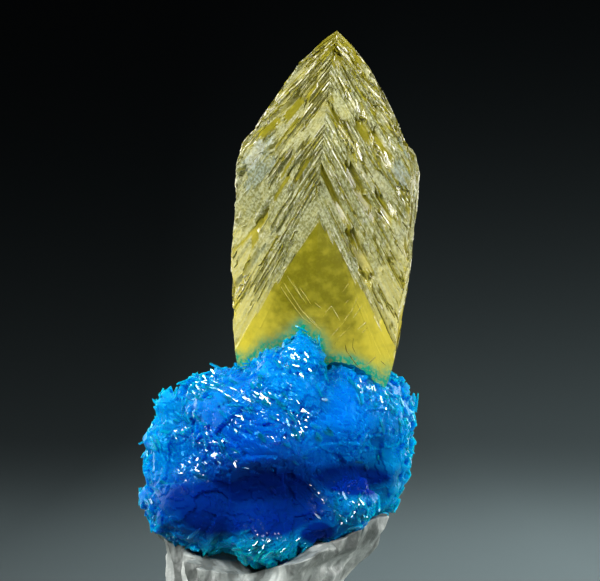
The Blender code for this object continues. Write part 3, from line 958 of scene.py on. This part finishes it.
def make_cavansite():
    chance = np.random.default_rng(11)
    points, quads = cluster_surface()
    obj = mesh_object("cavansite_crystals", points, quads.tolist())
    normals = np.empty(len(points) * 3, np.float32)
    obj.data.vertex_normals.foreach_get("vector", normals)
    normals = normals.reshape(-1, 3).astype(float)

    sheaf, raised, sheaf_along = relief(chance, points, normals, SHEAVES, SHEAF_SIZE, 0.12, 0.08, 0.5)
    chunk, steps, _ = relief(chance, points, normals, CHUNKS, CHUNK_SIZE, 0.11, 0.22, 0.5)
    outer = np.clip((normals[:, 1] + 0.75) / 0.5, 0, 1)
    raised = raised + steps * (0.6 + OUTER_ROUGHNESS * outer)

    picked = chance.choice(len(points), BLADES, replace=False)
    seeds, outward = points[picked], normals[picked]
    along = tangent(sheaf_along[sheaf[picked]] + 0.2 * chance.normal(0, 1, (BLADES, 3)), outward)
    side = np.cross(outward, along)
    length = chance.uniform(*BLADE_LENGTH, BLADES)
    width = chance.uniform(*BLADE_WIDTH, BLADES)
    blade, blade_u, blade_v = nearest_blades(points, seeds, along, side, length, width)
    glint = blob_share(points, GLINTS)
    busy = noise_values(points * (0.55 / MM))
    navy_shade_and_tone = blob_share(points, SHADES, SHADE_STRENGTH)
    busy = np.clip(0.25 + 1.0 * busy + glint, 0.15, 1.0) * (1 - 0.75 * navy_shade_and_tone)
    level = chance.uniform(-0.09, 0.0, BLADES) * MM
    slope_u, slope_v = chance.uniform(-0.12, 0.12, BLADES), chance.uniform(-0.6, 0.6, BLADES)
    for_right = seeds[:, 0:1] > 3.0 * MM
    mirror = np.where(for_right, BROAD_GLINT, KEY_GLINT)
    facing = (mirror * outward).sum(axis=1)
    turned = (glint[picked] > 0.35) & (facing > 0.6) & (chance.random(BLADES) < GLINT_CHANCE)
    slope_u = np.where(turned, -(mirror * along).sum(axis=1) / facing + 0.06 * slope_u, slope_u)
    slope_v = np.where(turned, -(mirror * side).sum(axis=1) / facing + 0.06 * slope_v, slope_v)
    raised += busy * level[blade] + slope_u[blade] * blade_u * busy + slope_v[blade] * blade_v * busy
    raised = np.clip(raised, -0.6 * MM, 0.08 * MM)
    raised += busy * chance.normal(0, 0.003 * MM, len(raised))
    moved = clear_of_calcite(points + normals * raised[:, None])
    obj.data.vertices.foreach_set("co", moved.astype(np.float32).ravel())
    obj.data.update()

    # Painted shade: darker where the relief sinks in
    point_attribute(obj, "recess_shade_and_tone", np.clip(-raised / (0.5 * MM), 0, 1))
    point_attribute(obj, "navy_shade_and_tone", navy_shade_and_tone)
    point_attribute(obj, "lit_azure", blob_share(points, LIT_AZURES))
    point_attribute(obj, "teal_glow", teal_glow_share(points))
    point_attribute(obj, "busy", busy)
    point_attribute(obj, "glint", glint * np.where(turned[blade], 1.0, 0.12))
    obj.data.materials.append(cavansite_material())
    finish_piece(obj, "cavansite_cluster")
    make_standing_blades(moved, quads, normals)
    return moved


def blade_mesh_data(centres, along, facing, length, width):
    """Points and faces of flat six-sided blades."""
    side = np.cross(facing, along)
    u = along[:, None, :] * (BLADE_OUTLINE[None, :, 0] * length[:, None] / 2)[..., None]
    v = side[:, None, :] * (BLADE_OUTLINE[None, :, 1] * width[:, None] / 2)[..., None]
    flat = centres[:, None, :] + u + v
    thick = facing[:, None, :] * STANDING_THICKNESS / 2
    points = np.concatenate([flat + thick, flat - thick], axis=1).reshape(-1, 3)
    shape = [[0, 5, 4, 3, 2, 1], [6, 7, 8, 9, 10, 11]]
    shape += [[corner, (corner + 1) % 6, 6 + (corner + 1) % 6, 6 + corner] for corner in range(6)]
    faces = [[12 * blade + corner for corner in face] for blade in range(len(centres)) for face in shape]
    return points, faces


def bright_rows(points, quads):
    """Places, outward normals and ways of the blades that show as bright lines on the front."""
    tree = BVHTree.FromPolygons(points.tolist(), quads.tolist())
    places, outward, ways = [], [], []
    for x, z, x_end, z_end, count in BRIGHT_ROWS:
        for share in np.linspace(0, 1, count):
            start = Vector((x + (x_end - x) * share, -100.0, z + (z_end - z) * share)) * MM
            hit, normal, _, _ = tree.ray_cast(start, Vector((0, 1, 0)))
            if hit is not None:
                places.append(hit)
                outward.append(normal * (-1 if normal.y > 0 else 1))
                ways.append((x_end - x, 0.0, z_end - z))
    return np.array(places), np.array(outward), unit(np.array(ways))


def make_standing_blades(points, quads, normals):
    """Single blades on the cluster; many near the places that catch the light are turned to it."""
    chance = np.random.default_rng(41)
    weight = 0.03 + np.clip(normals[:, 1] + 0.65, 0, 1) + 1.0 * blob_share(points, GLINTS)
    weight = weight * (1 - 0.95 * blob_share(points, SHADES, SHADE_STRENGTH)) * (points[:, 2] > STANDING_LOWEST)
    picked = chance.choice(len(points), STANDING_BLADES, replace=False, p=weight / weight.sum())
    row_places, row_outward, row_ways = bright_rows(points, quads)
    centres = np.concatenate([points[picked], row_places])
    outward = np.concatenate([normals[picked], row_outward])
    count, in_row = len(centres), np.arange(len(centres)) >= STANDING_BLADES
    length, width = chance.uniform(*STANDING_LENGTH, count), chance.uniform(*STANDING_WIDTH, count)
    width = np.where(in_row, 0.05 * MM, width)
    mirror = np.where(centres[:, 0:1] > 3.0 * MM, BROAD_GLINT, KEY_GLINT)
    bright = blob_share(centres, GLINTS) * ((mirror * outward).sum(axis=1) > 0.5)
    turned = in_row | (chance.random(count) < STANDING_GLINT_CHANCE * bright)
    facing = unit(outward + STANDING_TILT * chance.normal(0, 1, (count, 3)))
    facing = np.where(turned[:, None], unit(mirror + 0.06 * chance.normal(0, 1, (count, 3))), facing)
    length = np.where(turned, chance.uniform(*GLINT_LENGTH, count), length)
    width = np.where(turned & ~in_row, chance.uniform(*GLINT_WIDTH, count), width)
    ways = blade_ways(centres) + 0.25 * chance.normal(0, 1, (count, 3))
    ways[in_row] = row_ways
    along = tangent(ways, facing)
    centres = centres + outward * chance.uniform(*STANDING_LIFT, count)[:, None]

    calcite = node_tree("calcite_crystal")
    kept = []
    for centre, way, size in zip(centres, along, length):
        ends = [Vector(centre + way * size * share) for share in (-0.5, 0.0, 0.5)]
        nearest = [calcite.find_nearest(end)[:2] for end in ends]
        kept.append(all((end - place).dot(normal) > SOCKET_GAP for end, (place, normal) in zip(ends, nearest)))
    kept = np.array(kept)
    centres, along, facing, length, width = (values[kept] for values in (centres, along, facing, length, width))
    blade_points, faces = blade_mesh_data(centres, along, facing, length, width)
    obj = mesh_object("cavansite_blades", blade_points, faces)
    # Random darker tone for the blades that are not turned to the light
    deep = np.where(turned[kept], 0.0, chance.uniform(0.0, 0.25, len(centres)))
    point_attribute(obj, "recess_shade_and_tone", np.repeat(deep, 12))
    point_attribute(obj, "navy_shade_and_tone", blob_share(blade_points, SHADES, SHADE_STRENGTH))
    # Painted light: every standing blade is at least partly the lighter azure
    point_attribute(obj, "lit_azure", np.maximum(0.45, blob_share(blade_points, LIT_AZURES)))
    point_attribute(obj, "teal_glow", teal_glow_share(blade_points))
    point_attribute(obj, "busy", np.ones(len(blade_points)))
    point_attribute(obj, "glint", np.repeat(np.where(turned[kept], 1.0, 0.15), 12))
    obj.data.materials.append(bpy.data.materials["cavansite_blue"])
    finish_piece(obj, "cavansite_cluster")


def clear_of_calcite(points):
    """The same points, those inside the calcite moved to just outside its nearest face."""
    calcite = node_tree("calcite_crystal")
    moved = points.copy()
    for index, point in enumerate(points):
        place, normal, _, _ = calcite.find_nearest(Vector(point), 3 * MM)
        if place is not None and (Vector(point) - place).dot(normal) < SOCKET_GAP:
            moved[index] = place + normal * SOCKET_GAP
    return moved


# Putty

def putty_side(azimuth, share):
    front = np.maximum(0.0, np.cos(azimuth + RIM_DIP_TURN)) ** 1.5
    height = share * (RIM_HEIGHT - RIM_DIP * front)
    centre, wide, deep = [np.interp(height, PUTTY_PROFILE[:, 0], PUTTY_PROFILE[:, i]) for i in (1, 2, 3)]
    flute = np.cos(PUTTY_FLUTES * azimuth + 0.5 * height)
    places = np.stack([np.cos(azimuth), np.sin(azimuth), height * 0.3], axis=-1) * 1.6
    lump = noise_values(places)
    pleats = noise_values(places * np.array((3.0, 3.0, 0.9)) + 7.0)
    folds = np.maximum(0.0, pleats) * np.cos(PUTTY_FOLDS * azimuth + 2.2 * height)
    away = np.minimum(1.0, height)
    swell = 1 + (0.035 * flute + 0.09 * lump + 0.16 * folds - 0.1 * np.abs(pleats)) * away
    for turn, level, half_turn, half_height, depth in PUTTY_DENTS:
        off = ((np.mod(azimuth - turn + math.pi, 2 * math.pi) - math.pi) / half_turn) ** 2
        off = off + ((height - level) / half_height) ** 2
        swell = swell - depth / wide * np.exp(-off * off)
    x = centre + wide * swell * np.sin(azimuth)
    y = PUTTY_CENTRE_Y - deep * swell * np.cos(azimuth)
    return np.stack([x, y, height], axis=-1) * MM


def node_tree(name):
    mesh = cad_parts[name].data
    mesh.calc_loop_triangles()
    points = [vert.co.copy() for vert in mesh.vertices]
    faces = [tuple(triangle.vertices) for triangle in mesh.loop_triangles]
    return BVHTree.FromPolygons(points, faces)


def make_putty():
    azimuths = 2 * math.pi * np.arange(PUTTY_COLUMNS) / PUTTY_COLUMNS
    rings = [putty_side(azimuths, np.full(PUTTY_COLUMNS, row / PUTTY_ROWS)) for row in range(PUTTY_ROWS + 1)]
    ball = node_tree("cavansite_cluster")
    rim = rings[-1]
    middle = np.array([0.0, PUTTY_CENTRE_Y * MM, 0.0])
    for row in range(1, PUTTY_BED_ROWS):
        share = 1 - row / PUTTY_BED_ROWS
        ring = rim * share + middle * (1 - share)
        ring[:, 2] = rim[:, 2]
        for point in ring:
            hit = ball.ray_cast(Vector((point[0], point[1], 0.0)), Vector((0, 0, 1)))[0]
            if hit:
                point[2] = min(point[2], hit.z - PUTTY_GAP)
        rings.append(ring)
    count = len(rings)
    ends = np.array([[0.0, 0.0, 0.0], [0.0, PUTTY_CENTRE_Y * MM, rings[-1][:, 2].mean()]])
    faces = [list(reversed(face)) for face in ring_faces(count, PUTTY_COLUMNS)]
    faces += fan_faces(0, PUTTY_COLUMNS, count * PUTTY_COLUMNS, turned=True)
    faces += fan_faces((count - 1) * PUTTY_COLUMNS, PUTTY_COLUMNS, count * PUTTY_COLUMNS + 1, turned=False)
    obj = mesh_object("putty_lump", np.concatenate(rings + [ends]), faces, smooth=True)
    obj.data.materials.append(putty_material())
    finish_piece(obj, "putty_mount")


# Materials

def new_material(name):
    made = bpy.data.materials.new(name)
    made.use_nodes = True
    return made, made.node_tree.nodes, made.node_tree.links, made.node_tree.nodes["Principled BSDF"]


def attribute(nodes, name):
    node = nodes.new("ShaderNodeAttribute")
    node.attribute_name = name
    return node.outputs["Fac"]


def ranged(nodes, links, value, low, high, start=0.0, end=1.0):
    """A number that runs from low to high while the value runs from start to end."""
    node = nodes.new("ShaderNodeMapRange")
    node.inputs["From Min"].default_value = start
    node.inputs["From Max"].default_value = end
    node.inputs["To Min"].default_value = low
    node.inputs["To Max"].default_value = high
    links.new(value, node.inputs["Value"])
    return node.outputs["Result"]


def scaled(nodes, links, value, factor):
    node = nodes.new("ShaderNodeMath")
    node.operation = "MULTIPLY"
    node.inputs[1].default_value = factor
    links.new(value, node.inputs[0])
    return node.outputs["Value"]


def mixed(nodes, links, share, first, second):
    """A colour between two, each a colour or another node's output."""
    node = nodes.new("ShaderNodeMix")
    node.data_type = "RGBA"
    links.new(share, node.inputs["Factor"])
    for key, colour in (("A", first), ("B", second)):
        socket = [s for s in node.inputs if s.name == key and s.type == "RGBA"][0]
        if isinstance(colour, tuple):
            socket.default_value = (*colour, 1.0)
        else:
            links.new(colour, socket)
    return [s for s in node.outputs if s.type == "RGBA"][0]


def product(nodes, links, first, second):
    node = nodes.new("ShaderNodeMath")
    node.operation = "MULTIPLY"
    links.new(first, node.inputs[0])
    links.new(second, node.inputs[1])
    return node.outputs["Value"]


def total(nodes, links, first, second):
    node = nodes.new("ShaderNodeMath")
    node.operation = "ADD"
    node.use_clamp = True
    links.new(first, node.inputs[0])
    links.new(second, node.inputs[1])
    return node.outputs["Value"]


def vector_of(nodes, links, x, y):
    node = nodes.new("ShaderNodeCombineXYZ")
    links.new(x, node.inputs["X"])
    links.new(y, node.inputs["Y"])
    return node.outputs["Vector"]


def noise_texture(nodes, links, vector, scale, detail=3.0):
    node = nodes.new("ShaderNodeTexNoise")
    node.inputs["Scale"].default_value = scale
    node.inputs["Detail"].default_value = detail
    links.new(vector, node.inputs["Vector"])
    return node.outputs["Fac"]


def bumped(nodes, links, shader, height, strength, distance):
    node = nodes.new("ShaderNodeBump")
    node.inputs["Strength"].default_value = strength
    node.inputs["Distance"].default_value = distance
    links.new(height, node.inputs["Height"])
    links.new(node.outputs["Normal"], shader.inputs["Normal"])


def calcite_material():
    made, nodes, links, shader = new_material("calcite_honey")
    shader.inputs["Transmission Weight"].default_value = 0.42
    shader.inputs["IOR"].default_value = 1.6
    place = nodes.new("ShaderNodeNewGeometry").outputs["Position"]
    frost = attribute(nodes, "frost")
    across = scaled(nodes, links, attribute(nodes, "ledge"), 7.0)
    along = scaled(nodes, links, attribute(nodes, "along"), 1.3)
    lines = noise_texture(nodes, links, vector_of(nodes, links, across, along), 1.0)
    along_fine = scaled(nodes, links, attribute(nodes, "along"), 3.0)
    dashes = noise_texture(nodes, links, vector_of(nodes, links, across, along_fine), 1.7)
    grain = noise_texture(nodes, links, place, 7 / MM, 4.0)
    lined = attribute(nodes, "lined")
    dark_lines = product(nodes, links, lined, ranged(nodes, links, lines, 1.0, 0.0, 0.36, 0.41))
    pale = ranged(nodes, links, grain, 0.0, 1.0, 0.43, 0.54)
    clouds = noise_texture(nodes, links, place, 1.6 / MM)
    # Painted light: pale yellow glow of light through the milky lower parts
    milky_glow = total(nodes, links, attribute(nodes, "milky_glow"), ranged(nodes, links, clouds, -0.3, 0.3, 0.3, 0.7))
    frosted = mixed(nodes, links, pale, (0.3, 0.31, 0.1), (0.74, 0.77, 0.45))
    dark_dashes = product(nodes, links, lined, ranged(nodes, links, dashes, 0.8, 0.0, 0.38, 0.45))
    pale_dashes = product(nodes, links, lined, ranged(nodes, links, dashes, 0.0, 0.9, 0.56, 0.63))
    frosted = mixed(nodes, links, dark_dashes, frosted, (0.32, 0.31, 0.05))
    frosted = mixed(nodes, links, pale_dashes, frosted, (1.0, 1.0, 0.85))
    chilly = mixed(nodes, links, pale, (0.17, 0.23, 0.16), (0.5, 0.62, 0.55))
    frosted = mixed(nodes, links, attribute(nodes, "cool"), frosted, chilly)
    frosted = mixed(nodes, links, ranged(nodes, links, milky_glow, 0.0, 0.75), frosted, (1.0, 0.93, 0.37))
    frosted = mixed(nodes, links, dark_lines, frosted, (0.14, 0.13, 0.0))
    cloudy = ranged(nodes, links, clouds, 0.0, 1.0, 0.35, 0.65)
    clear = mixed(nodes, links, cloudy, (0.27, 0.235, 0.0), (0.34, 0.305, 0.002))
    clear = mixed(nodes, links, ranged(nodes, links, grain, 0.0, 0.3, 0.5, 0.6), clear, (0.45, 0.41, 0.005))
    clear = mixed(nodes, links, milky_glow, clear, (0.93, 0.78, 0.06))
    colour = mixed(nodes, links, frost, clear, frosted)
    # Painted: green where the blue cluster shows through the calcite
    blue_seen_through = product(nodes, links, attribute(nodes, "blue_seen_through"), ranged(nodes, links, grain, 0.55, 1.0, 0.4, 0.55))
    colour = mixed(nodes, links, blue_seen_through, colour, (0.0, 0.5, 0.3))
    links.new(colour, shader.inputs["Base Color"])
    links.new(ranged(nodes, links, attribute(nodes, "haze"), 0.06, 0.55), shader.inputs["Roughness"])
    rough = mixed(nodes, links, frost, (0.5, 0.5, 0.5), mixed(nodes, links, grain, lines, (1.0, 1.0, 1.0)))
    bumped(nodes, links, shader, rough, 0.8, 0.08 * MM)
    absorb = nodes.new("ShaderNodeVolumeAbsorption")
    absorb.inputs["Color"].default_value = (0.91, 0.895, 0.0, 1.0)
    absorb.inputs["Density"].default_value = 380.0
    links.new(absorb.outputs["Volume"], nodes["Material Output"].inputs["Volume"])
    return made


def hairline_material():
    made, nodes, links, shader = new_material("calcite_healed_line")
    place = nodes.new("ShaderNodeNewGeometry").outputs["Position"]
    tone = attribute(nodes, "tone")
    colour = mixed(nodes, links, ranged(nodes, links, tone, 0.0, 1.0, 0.0, 0.5), (0.08, 0.072, 0.0), (0.55, 0.45, 0.05))
    colour = mixed(nodes, links, ranged(nodes, links, tone, 0.0, 1.0, 0.5, 1.0), colour, (1.0, 1.0, 0.9))
    broken = noise_texture(nodes, links, place, 5 / MM)
    colour = mixed(nodes, links, ranged(nodes, links, broken, 0.0, 1.0, 0.4, 0.6), (0.3, 0.27, 0.01), colour)
    links.new(colour, shader.inputs["Base Color"])
    shader.inputs["Roughness"].default_value = 0.35
    return made


def cavansite_material():
    made, nodes, links, shader = new_material("cavansite_blue")
    place = nodes.new("ShaderNodeNewGeometry").outputs["Position"]
    split = nodes.new("ShaderNodeSeparateXYZ")
    links.new(place, split.inputs["Vector"])
    # Painted light: the blue runs from darker at the foot to lighter at the top, as if lit from above
    height = ranged(nodes, links, split.outputs["Z"], 0.0, 1.0, 6 * MM, 14 * MM)
    busy = attribute(nodes, "busy")
    colour = mixed(nodes, links, height, (0.0, 0.022, 0.4), (0.0, 0.165, 0.64))
    # Painted light: lighter azure blobs where the cluster lies in shade
    lit_azure = ranged(nodes, links, attribute(nodes, "lit_azure"), 0.0, 0.8)
    colour = mixed(nodes, links, lit_azure, colour, (0.0, 0.22, 0.82))
    # Painted light: teal glow where light shines through thin lobes
    colour = mixed(nodes, links, attribute(nodes, "teal_glow"), colour, (0.0, 0.54, 0.8))
    # Painted shade in the sunk parts of the relief, and random darker tone on the standing blades
    recess_shade_and_tone = ranged(nodes, links, attribute(nodes, "recess_shade_and_tone"), 0.0, 0.4)
    colour = mixed(nodes, links, recess_shade_and_tone, colour, (0.0, 0.03, 0.38))
    # Painted shade: deep navy in the front hollows, with darker tone patches on the back
    colour = mixed(nodes, links, attribute(nodes, "navy_shade_and_tone"), colour, (0.0, 0.005, 0.15))
    links.new(colour, shader.inputs["Base Color"])
    shader.inputs["Subsurface Weight"].default_value = 0.85
    shader.inputs["Subsurface Radius"].default_value = (0.1, 0.5, 1.0)
    shader.inputs["Subsurface Scale"].default_value = 1.5 * MM
    shader.inputs["IOR"].default_value = 1.5
    shader.inputs["Specular Tint"].default_value = (0.0, 0.45, 1.0, 1.0)
    links.new(ranged(nodes, links, attribute(nodes, "glint"), 0.0, 1.0, 0.0, 0.8), shader.inputs["Coat Weight"])
    shader.inputs["Coat Roughness"].default_value = 0.1
    shader.inputs["Coat IOR"].default_value = 1.6
    matt = ranged(nodes, links, attribute(nodes, "navy_shade_and_tone"), 0.0, 0.4)
    rough = total(nodes, links, ranged(nodes, links, busy, 0.36, 0.14, 0.2, 0.8), matt)
    links.new(rough, shader.inputs["Roughness"])
    speckle = noise_texture(nodes, links, place, 9 / MM)
    bumped(nodes, links, shader, product(nodes, links, speckle, busy), 0.5, 0.05 * MM)
    return made


def putty_material():
    made, nodes, links, shader = new_material("putty_pale")
    place = nodes.new("ShaderNodeNewGeometry").outputs["Position"]
    clouds = noise_texture(nodes, links, place, 0.9 / MM, 5.0)
    slanted = nodes.new("ShaderNodeMapping")
    slanted.inputs["Rotation"].default_value = (0.0, math.radians(-35), 0.0)
    slanted.inputs["Scale"].default_value = (1.0, 1.0, 0.22)
    links.new(place, slanted.inputs["Vector"])
    streaks = noise_texture(nodes, links, slanted.outputs["Vector"], 1.1 / MM, 3.0)
    cloudy = ranged(nodes, links, clouds, 0.0, 1.0, 0.35, 0.65)
    colour = mixed(nodes, links, cloudy, (0.19, 0.21, 0.19), (0.34, 0.37, 0.345))
    # Painted shade and highlight: dark streaks for the creases of folds, pale streaks for their lit ridges
    fold_shade = ranged(nodes, links, streaks, 0.85, 0.0, 0.38, 0.48)
    colour = mixed(nodes, links, fold_shade, colour, (0.09, 0.1, 0.09))
    colour = mixed(nodes, links, ranged(nodes, links, streaks, 0.0, 0.8, 0.56, 0.66), colour, (0.56, 0.59, 0.55))
    links.new(colour, shader.inputs["Base Color"])
    links.new(ranged(nodes, links, clouds, 0.42, 0.62), shader.inputs["Roughness"])
    dimples = noise_texture(nodes, links, place, 3.5 / MM, 4.0)
    bumped(nodes, links, shader, dimples, 0.5, 0.15 * MM)
    return made


# Stage

STAGE_FADE = 0.021


def stage_material():
    """Painted shade: pale where the specimen stands, darker towards the left, and fading into the dark as the sweep
    rises.
    """
    made, nodes, links, shader = new_material("stage_pale")
    place = nodes.new("ShaderNodeNewGeometry")
    split = nodes.new("ShaderNodeSeparateXYZ")
    links.new(place.outputs["Position"], split.inputs["Vector"])
    fall = nodes.new("ShaderNodeMath")
    fall.operation = "MULTIPLY"
    fall.inputs[1].default_value = -1 / STAGE_FADE
    links.new(split.outputs["Z"], fall.inputs[0])
    power = nodes.new("ShaderNodeMath")
    power.operation = "EXPONENT"
    links.new(fall.outputs["Value"], power.inputs[0])
    # Painted shade: darker towards the left
    sideways = ranged(nodes, links, split.outputs["X"], 0.32, 1.0, -0.02, 0.02)
    share = product(nodes, links, power.outputs["Value"], sideways)
    colour = mixed(nodes, links, share, (0.0001, 0.0009, 0.0015), (0.107, 0.142, 0.147))
    links.new(colour, shader.inputs["Base Color"])
    shader.inputs["Roughness"].default_value = 0.8
    shader.inputs["Specular IOR Level"].default_value = 0.1
    return made


def make_stage():
    """A round floor that sweeps up into a wall, the same from every side."""
    flat, bend = 0.32, 0.6
    radii = [flat + bend * math.sin(step / 40 * math.pi / 2) for step in range(41)]
    heights = [bend * (1 - math.cos(step / 40 * math.pi / 2)) for step in range(41)]
    columns = 96
    azimuths = 2 * math.pi * np.arange(columns) / columns
    rings = [
        np.stack([radius * np.sin(azimuths), -radius * np.cos(azimuths), np.full(columns, height)], axis=1)
        for radius, height in zip(radii, heights)
    ]
    points = np.concatenate(rings + [np.zeros((1, 3))])
    faces = [list(reversed(face)) for face in ring_faces(len(rings), columns)]
    faces += fan_faces(0, columns, len(rings) * columns, turned=True)
    obj = mesh_object("floor", points, faces, smooth=True)
    obj.data.materials.append(stage_material())


def area_light(name, place, target, width, height, strength, colour=(1, 1, 1), spread=math.pi):
    """An area light whose surface has the given brightness whatever its size."""
    data = bpy.data.lights.new(name, "AREA")
    data.shape = "RECTANGLE"
    data.size = width
    data.size_y = height
    data.energy = strength * math.pi * width * height
    data.color = colour
    data.spread = spread
    light = bpy.data.objects.new(name, data)
    light.location = place
    light.rotation_euler = (Vector(target) - Vector(place)).to_track_quat("-Z", "Y").to_euler()
    light.visible_camera = False
    bpy.context.scene.collection.objects.link(light)


def make_lights():
    middle = FRAME_MIDDLE
    area_light("key", (-0.12, -0.15, 0.15), middle, 0.09, 0.09, 33)
    area_light("fill", (0.18, -0.14, 0.07), middle, 0.04, 0.12, 27)
    area_light("rim_left", (-0.13, 0.09, 0.06), middle, 0.05, 0.12, 9)
    area_light("rim_right", (0.14, 0.09, 0.06), middle, 0.05, 0.12, 9)
    area_light("top", (0.02, 0.05, 0.2), middle, 0.08, 0.08, 10)
    area_light("backdrop", (0.3, 0.3, 0.25), (0.2, 0.4, 0.0), 0.2, 0.2, 5)
    world = bpy.data.worlds.new("studio")
    world.use_nodes = True
    world.node_tree.nodes["Background"].inputs["Color"].default_value = (0.002, 0.003, 0.004, 1.0)
    bpy.context.scene.world = world


def make_camera():
    data = bpy.data.cameras.new("camera")
    data.sensor_width = SENSOR_WIDTH
    data.lens = SENSOR_WIDTH * CAMERA_DISTANCE / FRAME_WIDTH
    data.clip_start = 0.01
    camera = bpy.data.objects.new("camera", data)
    camera.location = FRAME_MIDDLE + Vector((0, -CAMERA_DISTANCE, 0))
    camera.rotation_euler = (math.pi / 2, 0, 0)
    bpy.context.scene.collection.objects.link(camera)
    bpy.context.scene.camera = camera
    bpy.context.scene.view_settings.view_transform = "Standard"


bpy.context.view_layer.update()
make_camera()
make_stage()
make_lights()
cluster = make_cavansite()
crystal, growth = make_calcite(cluster)
make_hairlines(crystal, growth)
make_putty()
